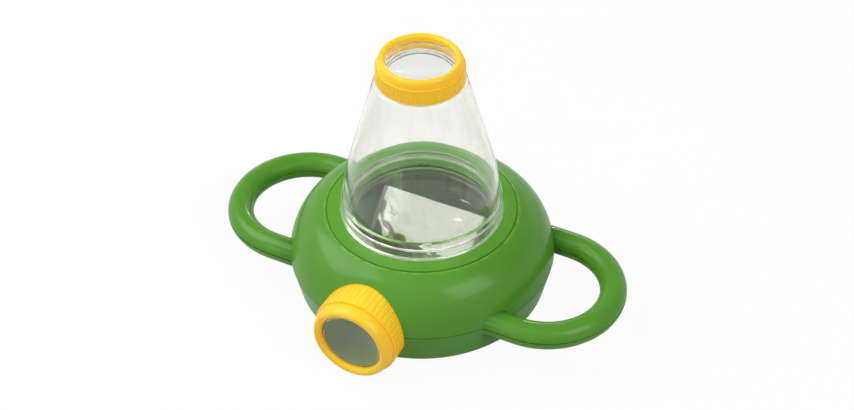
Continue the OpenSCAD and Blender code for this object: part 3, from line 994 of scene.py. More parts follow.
@dataclass
class Shells:
    """The two halves of the green body with their hollow loop handles."""

    body_r: float = 80.2
    body_h: float = 60.7
    dome_mid_z: float = 27.3
    flat_r: float = 52.3
    part_z: float = 28.8
    base_r: float = 62.0
    heel_r: float = 75.9
    heel_z: float = 10.1
    heel_round: float = 4.0
    wall: float = 2.5
    floor_t: float = 2.8
    seam: float = 0.65
    handle_seam: float = 0.95
    handle_r: float = 8.0
    loop_r: float = 40.6
    loop_x: float = 81.4
    handle_wall: float = 2.2
    flange_z: float = 54.9
    collar_seat_r: float = 56.7
    collar_edge_z: float = 60.283
    groove_w: float = 0.85
    ledge_r: float = 45.4
    pocket_r: float = 26.7
    pocket_back: float = 64.85
    barrel_bore_r: float = 22.62
    flange_bore_r: float = 25.1
    flange_from: float = 60.6
    flange_to: float = 62.7
    block_back: float = 58.45
    eye_reach: float = 93.3
    screw_xy: float = 41.0
    post_r: float = 4.6
    screw_bore_r: float = 1.52
    well_r: float = 3.1
    well_top: float = 25.8
    handle_post_r: float = 3.4
    handle_well_r: float = 2.6
    handle_well_top: float = 26.4
    handle_bore_r: float = 1.22
    tab_x: float = 39.8
    tab_y: float = 7.1
    tab_z: float = 8.8
    tab_top: float = 11.0
    edge_round: float = 0.22
    step_round: float = 0.1
    base_round: float = 0.8
    root_depth: float = 7.5
    overlap: float = 0.2
    lip: tuple[Point, ...] = ((0, -0.3), (0.1, -0.1), (0.3, 0), (0.55, 0.08))
    screw_depth: float = 11.0
    handle_screw_depth: float = 4.6
    foot_r: float = 3.4
    foot_bore_low: float = 4.4
    foot_bore_high: float = 10.9
    tube_steps: int = 48
    loop_steps: int = 96
    base_steps: int = 12
    heel_steps: int = 12

    def dome_z(self, radius: float) -> float:
        """Return the height of the dome at a radius."""
        share = max(radius - self.flat_r, 0) / (self.body_r - self.flat_r)
        return self.dome_mid_z + (self.body_h - self.dome_mid_z) * math.sqrt(1 - share**2)

    def dome_corners(self, inset: float, from_z: float, steps: int = 40) -> list[Corner]:
        """Return the dome's outline, set in by inset, from a height up to its flat top."""
        radii = (self.body_r - self.flat_r - inset, self.body_h - self.dome_mid_z - inset)
        low = math.degrees(math.asin((from_z - self.dome_mid_z) / radii[1]))
        return arc((self.flat_r, self.dome_mid_z), radii, low, 90, steps)

    def heel_corners(self, inset: float, top: float) -> list[Corner]:
        """Return the outline of the heel and side, set in by inset, up to a height."""
        part_r = self.part_r()
        mid_x = self.heel_r - self.heel_round
        bevel = math.degrees(
            math.atan2(self.heel_z, mid_x - self.base_r)
            - math.asin(self.heel_round / math.hypot(mid_x - self.base_r, self.heel_z))
        )
        side = math.degrees(math.atan2(part_r - self.heel_r, self.part_z - self.heel_z))
        radius = self.heel_round - inset
        middle = (mid_x, self.heel_z)
        corners = arc(middle, (radius, radius), bevel - 90, -side, self.heel_steps)
        slant = (part_r - inset - corners[-1].r) / (self.part_z - corners[-1].z)
        return corners + [Corner(part_r - inset + slant * (top - self.part_z), top)]

    def part_r(self) -> float:
        """Return the body's radius at the joint of the shells."""
        return self.dome_corners(0, self.part_z, 1)[0].r

    def dome(self, inset: float, from_z: float) -> Solid:
        """Return a solid dome above a height, set in by inset."""
        corners = [Corner(0, from_z)] + self.dome_corners(inset, from_z)
        corners.append(Corner(0, self.body_h - inset))
        return Solid.turned(corners)

    def half_disc(self, radius: float, rebate: float, edge: float) -> list[Point]:
        """Return half of a tube's section above the joint.

        Args:
            radius: Radius of the tube.
            rebate: Depth and height of the step at the joint, or below zero where it runs on.
            edge: Radius of the edge at the joint.

        Returns:
            Points across the tube and above the joint.
        """
        if rebate < 0:
            low = outline((radius, rebate))
            bend = arc((0, 0), (radius, radius), 0, 180, self.tube_steps)
            high = outline((-radius, rebate))
        else:
            start = math.degrees(math.asin(rebate / radius))
            bend = arc((0, 0), (radius, radius), start, 180 - start, self.tube_steps)
            bend[0] = Corner(bend[0].r, bend[0].z, edge)
            bend[-1] = Corner(bend[-1].r, bend[-1].z, edge)
            low = []
            high = []
            if rebate > 0:
                inner = radius - rebate
                foot = math.sqrt(inner**2 - rebate**2)
                low = outline((inner, 0), (foot, rebate, edge / 2))
                high = outline((-foot, rebate, edge / 2), (-inner, 0))
        return rounded(low + bend + high, 3)

    def loops(self, radius: float, rebate: float, edge: float, up: bool) -> list[Solid]:
        """Return the halves of both handles.

        Args:
            radius: Radius of the handle's tube.
            rebate: Step at the joint, as for half_disc.
            edge: Radius of the edge at the joint.
            up: True for the upper halves.

        Returns:
            The right half and the left half.
        """
        deep = self.body_r - self.root_depth
        root = math.sqrt(deep**2 - (self.loop_r + self.handle_r) ** 2)
        path: list[tuple[Point, Point]] = [((root, self.loop_r), (0, 1))]
        for step in range(self.loop_steps + 1):
            angle = math.radians(90 - 180 * step / self.loop_steps)
            across = (math.cos(angle), math.sin(angle))
            place = (self.loop_x + self.loop_r * across[0], self.loop_r * across[1])
            path.append((place, across))
        path.append(((root, -self.loop_r), (0, -1)))
        section = self.half_disc(radius, rebate, edge)
        if not up:
            section = [(out, -height) for out, height in section]
        right = Solid.swept(section, path, self.part_z)
        return [right, right.placed(Matrix.Scale(-1, 4, Vector((1, 0, 0))))]

    def eye_bar(self, radius: float, start: float, end: float) -> Solid:
        """Return a bar along the eyepiece's axis."""
        return Solid.bar(radius, start, end, MEDIUM_TURN).placed(eye_place())

    def eye_cuts(self) -> list[Solid]:
        """Return what the eyepiece's ring and barrel take out of the shells."""
        return [
            self.eye_bar(self.pocket_r, self.pocket_back, self.eye_reach),
            self.eye_bar(
                self.barrel_bore_r, self.block_back - RUN_OVER, self.pocket_back + RUN_OVER
            ),
            self.eye_bar(self.flange_bore_r, self.flange_from, self.flange_to),
        ]

    def screws(self) -> list[Triple]:
        """Return the places of the body's screws."""
        return [(x * self.screw_xy, y * self.screw_xy, 0) for x in SIDES for y in SIDES]

    def handles(self) -> list[Triple]:
        """Return the places of the handles' screws."""
        return [(side * (self.loop_x + self.loop_r), 0, 0) for side in SIDES]

    def tabs(self) -> list[Triple]:
        """Return the places of the mirror frame's screws."""
        return [(side * self.tab_x, self.tab_y, 0) for side in SIDES]

    def grips(self, low: float, high: float, up: bool) -> list[Solid]:
        """Return the posts of the handle screws, between two heights and within the handles."""
        posts = Solid.bar(self.handle_post_r, low, high).at(self.handles())
        rooms = self.loops(self.handle_r - self.handle_wall / 2, 0, 0, up)
        return [post.keep(room) for post, room in zip(posts, rooms[::-1])]

    def upper(self) -> Solid:
        """Build the upper shell."""
        low = self.part_z
        step_r = self.part_r() - self.seam
        skin = outline((0, low), (step_r, low), (step_r, low + self.seam, self.step_round))
        side = self.dome_corners(0, low + self.seam)
        skin += [Corner(side[0].r, side[0].z, self.edge_round)] + side[1:]
        skin.append(Corner(0, self.body_h))
        outer = Solid.turned(skin).join(
            *self.loops(self.handle_r, self.handle_seam, self.edge_round, True)
        )
        inner = self.dome(self.wall, low).join(
            Solid.bar(self.part_r() - self.wall, low - RUN_OVER, low + self.overlap, FINE_TURN),
            *self.loops(self.handle_r - self.handle_wall, -RUN_OVER, 0, True),
        )
        shell = outer.cut(inner)
        ledge = Solid.bar(
            self.collar_seat_r + self.wall, self.flange_z - self.wall, self.body_h, FINE_TURN
        )
        block = self.eye_bar(self.pocket_r + self.wall, self.block_back, self.body_r)
        posts = Solid.bar(self.post_r, low, self.body_h).at(self.screws())
        shell = shell.join(ledge.join(block, *posts).keep(self.dome(self.wall / 2, low)))
        shell = shell.join(*self.grips(low, low + self.handle_r, True))
        groove_r = self.collar_seat_r + self.groove_w
        groove_z = self.collar_edge_z - self.seam
        top = self.dome_z(groove_r)
        over = self.body_h + RUN_OVER
        seat = outline(
            (0, self.flange_z),
            (self.collar_seat_r, self.flange_z),
            (self.collar_seat_r, groove_z),
            (groove_r, groove_z),
            *[(groove_r + out, top + up) for out, up in self.lip],
            (groove_r + self.lip[-1][0], over),
            (0, over),
        )
        bore = Solid.bar(self.screw_bore_r, low - RUN_OVER, low + self.screw_depth)
        small = Solid.bar(self.handle_bore_r, low - RUN_OVER, low + self.handle_screw_depth)
        return shell.cut(
            Solid.turned(seat),
            Solid.bar(self.ledge_r, low - RUN_OVER, over, FINE_TURN),
            *self.eye_cuts(),
            *bore.at(self.screws()),
            *small.at(self.handles()),
        )

    def lower(self) -> Solid:
        """Build the lower shell."""
        high = self.part_z
        over = high + RUN_OVER
        skin = [Corner(self.base_r * step / self.base_steps, 0) for step in range(self.base_steps)]
        skin += [Corner(self.base_r, 0, self.base_round)] + self.heel_corners(0, high)
        skin[-1] = Corner(skin[-1].r, skin[-1].z, self.edge_round)
        skin.append(Corner(0, high))
        outer = Solid.turned(skin).join(
            *self.loops(self.handle_r, 0, self.edge_round, False)
        )
        room = outline((0, self.floor_t), (self.base_r, self.floor_t))
        room += self.heel_corners(self.wall, over) + [Corner(0, over)]
        inner = Solid.turned(room).join(
            *self.loops(self.handle_r - self.handle_wall, -RUN_OVER, 0, False)
        )
        shell = outer.cut(inner)
        fill = outline((0, 0), (self.base_r, 0)) + self.heel_corners(self.wall / 2, high)
        block = self.eye_bar(self.pocket_r + self.wall, self.block_back, self.body_r)
        posts = Solid.bar(self.post_r, 0, high).at(self.screws())
        kept = block.join(*posts).keep(Solid.turned(fill + [Corner(0, high)]))
        feet = Solid.bar(self.foot_r, self.floor_t / 2, self.tab_z).at(self.tabs())
        shell = shell.join(kept, *feet, *self.grips(high - self.handle_r, high, False))
        small = Solid.bar(self.handle_bore_r, self.foot_bore_low, self.foot_bore_high)
        return shell.cut(
            *self.eye_cuts(),
            *Solid.bar(self.well_r, -RUN_OVER, self.well_top).at(self.screws()),
            *Solid.bar(self.screw_bore_r, 0, over).at(self.screws()),
            *Solid.bar(self.handle_well_r, 0, self.handle_well_top).at(self.handles()),
            *Solid.bar(self.handle_bore_r, 0, over).at(self.handles()),
            *small.at(self.tabs()),
        )

    def dress(self) -> None:
        """Build both shells as pieces."""
        self.upper().piece("shell_upper", GREEN, Body.BASE, Slot.GREEN, ["upper_shell"])
        self.lower().piece("shell_lower", GREEN, Body.BASE, Slot.GREEN, ["lower_shell"])


@dataclass
class Chamber:
    """The clear dish that the specimen lies in, and the green collar that clamps it."""

    shells: Shells
    dish_r: float = 43.5
    dish_low_r: float = 42.3
    wall: float = 1.8
    floor_z: float = 52.0
    step_z: float = 57.8
    rim_z: float = 65.7
    flange_r: float = 54.0
    collar_r: float = 56.6
    crown_steps: int = 8

    def collar(self) -> Solid:
        """Build the collar."""
        low = self.shells.flange_z
        high = low + self.wall
        inner = self.dish_r + self.wall + SEAT_GAP
        corners = outline(
            (inner, high),
            (self.flange_r + SEAT_GAP, high),
            (self.flange_r + SEAT_GAP, low),
            (self.collar_r, low, 0.1),
            (self.collar_r, self.shells.dome_z(self.collar_r), 0.6),
        )
        crown = self.shells.flat_r - self.collar_r
        for step in range(1, self.crown_steps + 1):
            radius = self.collar_r + crown * step / self.crown_steps
            corners.append(Corner(radius, self.shells.dome_z(radius)))
        corners.append(Corner(inner, self.shells.body_h, 0.3))
        return Solid.turned(corners)

    def dish(self) -> Solid:
        """Build the dish."""
        under = self.floor_z - self.wall
        low_out = self.dish_low_r + self.wall
        out = self.dish_r + self.wall
        flange_top = self.shells.flange_z + self.wall
        corners = outline(
            (0, under),
            (low_out, under, 0.9),
            (low_out, self.shells.flange_z, 0.3),
            (self.flange_r, self.shells.flange_z, 0.3),
            (self.flange_r, flange_top, 0.3),
            (out, flange_top, 0.2),
            (out, self.rim_z, 0.6),
            (self.dish_r, self.rim_z, 0.6),
            (self.dish_r, self.step_z, 0.25),
            (self.dish_low_r, self.step_z, 0.35),
            (self.dish_low_r, self.floor_z, 1.2),
            (0, self.floor_z),
        )
        return Solid.turned(corners, steps=5)

    def dress(self) -> None:
        """Build both pieces."""
        self.collar().piece("collar", GREEN, Body.BASE, Slot.GREEN, ["dish_collar"])
        self.dish().piece("dish", DISH_CLEAR, Body.BASE, Slot.CLEAR, ["specimen_dish"])


@dataclass
class Cone:
    """The clear lift-off cone with its skirt, foot bead and threaded neck."""

    repeats: Repeats
    low: float = 60.8
    bead_r: float = 48.8
    bead_h: float = 1.6
    skirt_r: float = 47.6
    skirt_in_r: float = 45.8
    pocket_z: float = 66.5
    foot_z: float = 73.2
    foot_r: float = 46.2
    top_r: float = 26.7
    height: float = 82.4
    bend_h: float = 21.0
    wall: float = 1.8
    neck_r: float = 22.4
    neck_top: float = 164.5
    tube_wall: float = 2.0
    neck_round: float = 0.8
    seam: float = 0.5
    curve_steps: int = 28
    side_steps: int = 6
    side_end: float = 3.4
    thread_low: float = 1.6
    thread_high: float = 1.2

    def out_r(self, height: float) -> float:
        """Return the cone's outer radius at a height above its foot."""
        slope = (self.foot_r - self.top_r) / (self.height - self.bend_h / 2)
        if height < self.bend_h:
            return self.foot_r - slope * height**2 / (2 * self.bend_h)
        return self.foot_r - slope * (height - self.bend_h / 2)

    def shape(self) -> Solid:
        """Build the cone."""
        top = self.foot_z + self.height
        heights = [self.bend_h * i / self.curve_steps for i in range(self.curve_steps + 1)]
        side = self.height - self.side_end - self.bend_h
        rings = self.side_steps
        heights += [self.bend_h + side * i / rings for i in range(1, rings + 1)]
        inner_h = self.height - self.wall - self.neck_round
        tube_in_r = self.neck_r - self.tube_wall
        corners = outline(
            (self.skirt_in_r, self.low, 0.25),
            (self.bead_r, self.low, 0.5),
            (self.bead_r, self.low + self.bead_h, 0.6),
            ((self.bead_r + self.skirt_r) / 2, self.low + self.bead_h + self.seam, 0.3),
            (self.skirt_r, self.foot_z - self.neck_round, 0.5),
            (self.foot_r + self.neck_round / 2, self.foot_z, 0.3),
            *[(self.out_r(h), self.foot_z + h) for h in heights],
            (self.top_r, top - self.neck_round, 0.4),
            (self.top_r - self.neck_round, top, 0.4),
            (self.neck_r, top, 0.3),
            (self.neck_r, self.neck_top, 0.4),
            (tube_in_r, self.neck_top, 0.4),
            (tube_in_r, top - self.wall, 0.4),
            (self.top_r - self.wall - self.neck_round, top - self.wall, 0.4),
            (self.out_r(inner_h) - self.wall, self.foot_z + inner_h, 0.4),
            *[(self.out_r(h) - self.wall, self.foot_z + h) for h in reversed(heights)],
            (self.foot_r - self.wall, self.pocket_z, 0.4),
            (self.skirt_in_r, self.pocket_z, 0.3),
        )
        start = top + self.thread_low
        end = self.neck_top - self.thread_high
        ridge = self.repeats.ridge(self.neck_r, THREAD_H, start, end, THREAD_PITCH)
        return Solid.turned(corners).join(ridge)

    def dress(self) -> None:
        """Build the cone as a piece."""
        self.shape().piece("cone", CONE_CLEAR, Body.CONE, Slot.CLEAR, ["viewing_cone"])


@dataclass
class LensRing:
    """A knurled yellow ring on its own axis, with the lens and the keeper that travel in it."""

    repeats: Repeats
    name: str
    ring_body: Body
    lens_body: Body
    ring_node: str
    place: Matrix
    grip_r: float
    grip_h: float
    step_r: float
    rim_h: float
    open_r: float
    bore_r: float
    ribs: int
    rib_share: float
    rib_ease: float
    rib_depth: float = 0.45
    rib_end: float = 0.55
    line_h: float = 0.5
    face_share: float = 0.48
    lens_inset: float = 3.2
    lens_edge: float = 1.6
    lens_crown: float = 1.5
    lens_shoulder: float = 0.6
    lens_gap: float = 0.1
    lens_finish: ClearPlastic = LENS_CLEAR
    bore_gap: float = 0.02
    keeper_t: float = 1.2
    keeper_lip: float = 2.0
    back_round: float = 0.1
    crest_round: float = 0.35
    groove_round: float = 0.08
    weld: float = 0.0005
    outer_steps: int = 10
    inner_steps: int = 8
    bulge_steps: int = 24
    shoulder_steps: int = 6
    spacing: tuple[float, ...] = (-1, -0.97, -0.88, -0.68, -0.36, 0, 0.36, 0.68, 0.88, 0.97, 1)

    def lens_r(self) -> float:
        """Return the radius of the lens."""
        return self.bore_r - 0.5 * THREAD_H - SEAT_GAP

    def lens_z(self) -> float:
        """Return the height of the lens's inner face."""
        return self.grip_h + self.rim_h - self.lens_inset - self.lens_edge

    def section(self, crest: float) -> list[Point]:
        """Return the ring's closed section.

        Args:
            crest: 1 on the crest of a rib, 0 in the groove beside it.

        Returns:
            Points of radius and height, as many for each crest.
        """
        height = self.grip_h + self.rim_h
        grip = self.grip_r - self.rib_depth * (1 - crest)
        face_r = self.open_r + (self.step_r - self.open_r) * self.face_share
        in_h = self.rim_h / 3
        seat = height - self.lens_inset
        line_top = self.grip_h + self.line_h
        outer_radii = (self.step_r - face_r, self.rim_h - self.line_h)
        outer = arc((face_r, line_top), outer_radii, 0, 90, self.outer_steps)
        outer[0] = Corner(outer[0].r, outer[0].z, 0.15)
        inner_radii = (face_r - self.open_r, in_h)
        inner = arc((face_r, height - in_h), inner_radii, 90, 180, self.inner_steps)
        end = self.groove_round + crest * (self.rib_end - self.groove_round)
        line_r = self.step_r - self.line_h
        seat_r = self.lens_r() + SEAT_GAP
        back = outline(
            (self.bore_r, 0, 0.25),
            (grip, 0, self.back_round + self.crest_round * crest),
            (grip, self.grip_h, end),
            (line_r, self.grip_h, self.groove_round),
            (line_r, line_top, 0.04),
        )
        bore = outline(
            (self.open_r, seat, 0.15),
            (seat_r, seat),
            (seat_r, seat - self.lens_edge),
            (self.bore_r, seat - self.lens_edge),
        )
        return rounded(back + outer + inner[1:] + bore, 3)

    def ring(self) -> Solid:
        """Build the ring from one rib's sector."""
        pitch = math.tau / self.ribs
        half = self.rib_share / 2
        ease = self.rib_ease
        across = [(x * half, (1 - abs(x) ** ease) ** (1 / ease)) for x in self.spacing]
        across = [(-0.5, 0.0)] + across + [(0.5, 0.0)]
        points = []
        for angle_share, crest in across:
            angle = pitch * angle_share
            for radius, height in self.section(crest):
                points.append((radius * math.cos(angle), radius * math.sin(angle), height))
        faces = row_faces(len(across), len(points) // len(across))
        sector = bpy.data.meshes.new("sector")
        sector.from_pydata(points, [], faces)
        values = {"Count": self.ribs, "Weld": self.weld, "Material": YELLOW.material()}
        made = self.repeats.sectors.solid(sector, values)
        corners = [vertex.co for vertex in made.mesh.vertices]
        return Solid(new_mesh(corners, [face.vertices for face in made.mesh.polygons]))

    def lens(self) -> Solid:
        """Build the lens, which bulges within the ring's opening."""
        shoulder = self.lens_shoulder
        bulge_r = self.open_r - self.lens_gap - shoulder
        rise = self.lens_crown - shoulder
        ball_r = (bulge_r**2 + rise**2) / (2 * rise)
        end = math.degrees(math.acos(bulge_r / ball_r))
        middle = (0, self.lens_crown - ball_r)
        side = arc(middle, (ball_r, ball_r), 90, end, self.bulge_steps)
        side += arc((bulge_r, 0), (shoulder, shoulder), 90, 0, self.shoulder_steps)[1:]
        low = self.lens_z()
        high = low + self.lens_edge
        corners = [Corner(corner.r, low - corner.z) for corner in side]
        corners += outline((self.lens_r(), low, 0.2), (self.lens_r(), high, 0.2))
        corners += [Corner(corner.r, high + corner.z) for corner in reversed(side)]
        return Solid.turned(corners, MEDIUM_TURN)

    def keeper(self) -> Solid:
        """Build the keeper ring that holds the lens in its seat."""
        low = self.lens_z() - self.keeper_t
        high = low + self.keeper_t - SEAT_GAP
        outer = self.bore_r - self.bore_gap
        inner = self.bore_r - THREAD_H - self.keeper_lip
        places = [(inner, low), (outer, low), (outer, high), (inner, high)]
        return Solid.turned([Corner(r, z, 0.2) for r, z in places], MEDIUM_TURN)

    def dress(self) -> None:
        """Build the ring, the lens and the keeper as pieces."""
        self.ring().placed(self.place).piece(
            f"ring_{self.name}", YELLOW, self.ring_body, Slot.YELLOW, [self.ring_node]
        )
        stem = f"{self.name}_lens"
        self.lens().placed(self.place).piece(
            f"lens_{self.name}", self.lens_finish, self.lens_body, Slot.LENS, [stem]
        )
        self.keeper().placed(self.place).piece(
            f"keeper_{self.name}", YELLOW, self.lens_body, Slot.YELLOW, [f"{stem}_keeper"]
        )


@dataclass
class Barrel:
    """The threaded tube that the eyepiece's ring turns on."""

    repeats: Repeats
    radius: float = 22.6
    wall: float = 2.0
    back: float = 58.45
    front: float = 87.0
    flange_r: float = 25.0
    flange_from: float = 60.65
    flange_to: float = 62.65
    thread_turns: int = 3
    thread_high: float = 1.2

    def shape(self) -> Solid:
        """Build the barrel along the Z axis."""
        inner = self.radius - self.wall
        corners = outline(
            (inner, self.back, 0.3),
            (self.radius, self.back, 0.3),
            (self.radius, self.flange_from, 0.15),
            (self.flange_r, self.flange_from, 0.3),
            (self.flange_r, self.flange_to, 0.3),
            (self.radius, self.flange_to, 0.15),
            (self.radius, self.front, 0.4),
            (inner, self.front, 0.4),
        )
        start = self.front - self.thread_turns * THREAD_PITCH
        end = self.front - self.thread_high
        ridge = self.repeats.ridge(self.radius, THREAD_H, start, end, THREAD_PITCH)
        return Solid.turned(corners, MEDIUM_TURN).join(ridge)

    def dress(self) -> None:
        """Build the barrel as a piece in its place."""
        made = self.shape().placed(eye_place())
        # The barrel takes the lighter green, painted light for its dim inside.
        made.piece("barrel", BRIGHTENED_INNER_GREEN, Body.BASE, Slot.DARK, ["eyepiece_barrel"])


@dataclass
class MirrorUnit:
    """The sloping mirror and the frame that holds it."""

    shells: Shells
    width: float = 66.0
    plate_t: float = 2.0
    axis_y: float = -4.0
    low: float = -28.05
    high: float = 31.396
    frame_t: float = 2.2
    frame_under: float = 2.1
    frame_x: float = 35.3
    clip: float = 3.0
    foot_z: float = 2.9
    tab_w: float = 9.0
    tab_len: float = 10.0
    plate_round: float = 0.25
    frame_round: float = 0.35
    clip_round: float = 0.3
    tab_round: float = 0.4

    def slope(self) -> Matrix:
        """Return the place of the mirror's face."""
        middle = Matrix.Translation((0, self.axis_y, EYE_Z))
        return middle @ Matrix.Rotation(math.pi / 4, 4, "X")

    def plate(self) -> Solid:
        """Build the mirror plate."""
        half = self.width / 2
        low = (-half, self.low, -self.plate_t)
        return Solid.block(low, (half, self.high, 0), self.plate_round).placed(self.slope())

    def frame(self) -> Solid:
        """Build the tray, its lip, its clips, and the cheeks and tabs that carry it."""
        tray_low = self.low - SEAT_GAP - self.frame_t
        under = self.frame_under
        bottom = -under - self.frame_t
        wide = self.frame_x
        lip_y = tray_low + self.frame_t
        clip_y = self.low + self.clip
        clip_top = SEAT_GAP + self.frame_t / 2
        corner = (-wide, tray_low, bottom)
        made = Solid.block(corner, (wide, self.high, -under), self.frame_round)
        made = made.join(Solid.block(corner, (wide, lip_y, 0), self.frame_round))
        for side in SIDES:
            edge = side * wide
            inner = side * (wide - self.frame_t)
            tip = inner - side * self.clip
            rail = Solid.block(
                (edge, tray_low, bottom), (inner, self.high, SEAT_GAP), self.frame_round
            )
            clip_low = (edge, clip_y, SEAT_GAP / 2)
            clip_high = (tip, clip_y + self.clip, clip_top)
            made = made.join(rail, Solid.block(clip_low, clip_high, self.clip_round))
        made = made.placed(self.slope())
        drop = (under + self.frame_t / 2) / math.cos(math.pi / 4)
        cheek_low = self.foot_z + self.frame_t
        cheek_y = self.axis_y + cheek_low + drop - EYE_Z
        reach = self.high * math.cos(math.pi / 4)
        top = (self.axis_y + reach, EYE_Z + reach - drop)
        cheek = [(cheek_y, self.foot_z), (top[0], self.foot_z), top, (cheek_y, cheek_low)]
        tab_y = self.shells.tab_y
        tab_z = self.shells.tab_z
        tab_top = tab_z + self.frame_t
        bore = Solid.bar(self.shells.handle_bore_r, tab_z - RUN_OVER, tab_top + RUN_OVER)
        for side, hole in zip(SIDES, bore.at(self.shells.tabs())):
            inner = side * (wide - self.frame_t)
            tab = Solid.block(
                (side * (wide - self.frame_t / 2), tab_y - self.tab_len / 2, tab_z),
                (side * (wide + self.tab_w), tab_y + self.tab_len / 2, tab_top),
                self.tab_round,
            ).cut(hole)
            path = [((x, 0), (0, 1)) for x in sorted((side * wide, inner))]
            made = made.join(Solid.swept(cheek, path, 0), tab)
        return made

    def dress(self) -> None:
        """Build the mirror and its frame as pieces."""
        self.plate().piece("mirror", SILVER, Body.BASE, Slot.MIRROR, ["mirror_plate"])
        self.frame().piece("mirror_tray", GREY, Body.BASE, Slot.DARK, ["mirror_frame"])


@dataclass
class ScrewSet:
    """Cross-slotted screws of one size, set at their places."""

    repeats: Repeats
    name: str
    nodes: list[str]
    places: list[Triple]
    shank_r: float
    length: float
    head_r: float
    head_h: float
    head_up: bool = False
    pitch: float = 1.0
    cross_share: float = 0.65
    cross_ratio: float = 6.0
    cross_round: float = 0.05
    crown_share: float = 0.55
    side_share: float = 0.7
    core_share: float = 0.8
    thread_share: float = 0.2
    thread_from: float = 1.0
    tip_share: float = 0.25

    def one(self) -> Solid:
        """Build one screw with its head down and its bearing face at height 0."""
        core = self.shank_r * self.core_share
        tip = self.length - self.shank_r
        corners = outline(
            (0, -self.head_h),
            (self.head_r * self.crown_share, -self.head_h),
            (self.head_r, -self.head_h * self.side_share, 0.5),
            (self.head_r, 0, 0.15),
            (core, 0, 0.1),
            (core, tip),
            (self.shank_r * self.tip_share, self.length, 0.2),
            (0, self.length),
        )
        height = self.shank_r * self.thread_share
        ridge = self.repeats.ridge(core, height, self.thread_from, tip, self.pitch)
        made = Solid.turned(corners, SMALL_TURN).join(ridge)
        width = self.head_r / self.cross_ratio
        reach = self.head_r * self.cross_share
        for x, y in ((reach, width), (width, reach)):
            low = (-x, -y, -self.head_h - RUN_OVER)
            made = made.cut(Solid.block(low, (x, y, -self.head_h / 2), self.cross_round))
        if self.head_up:
            return made.placed(Matrix.Rotation(math.pi, 4, "X"))
        return made

    def dress(self) -> None:
        """Set the screws at their places as one piece."""
        source = linked_object("one_screw", self.one().mesh)
        points = bpy.data.meshes.new("places")
        points.from_pydata(self.places, [], [])
        made = self.repeats.copies.solid(points, {"Piece": source, "Material": STEEL.material()})
        bpy.data.objects.remove(source)
        made.piece(self.name, STEEL, Body.BASE, Slot.STEEL, self.nodes)


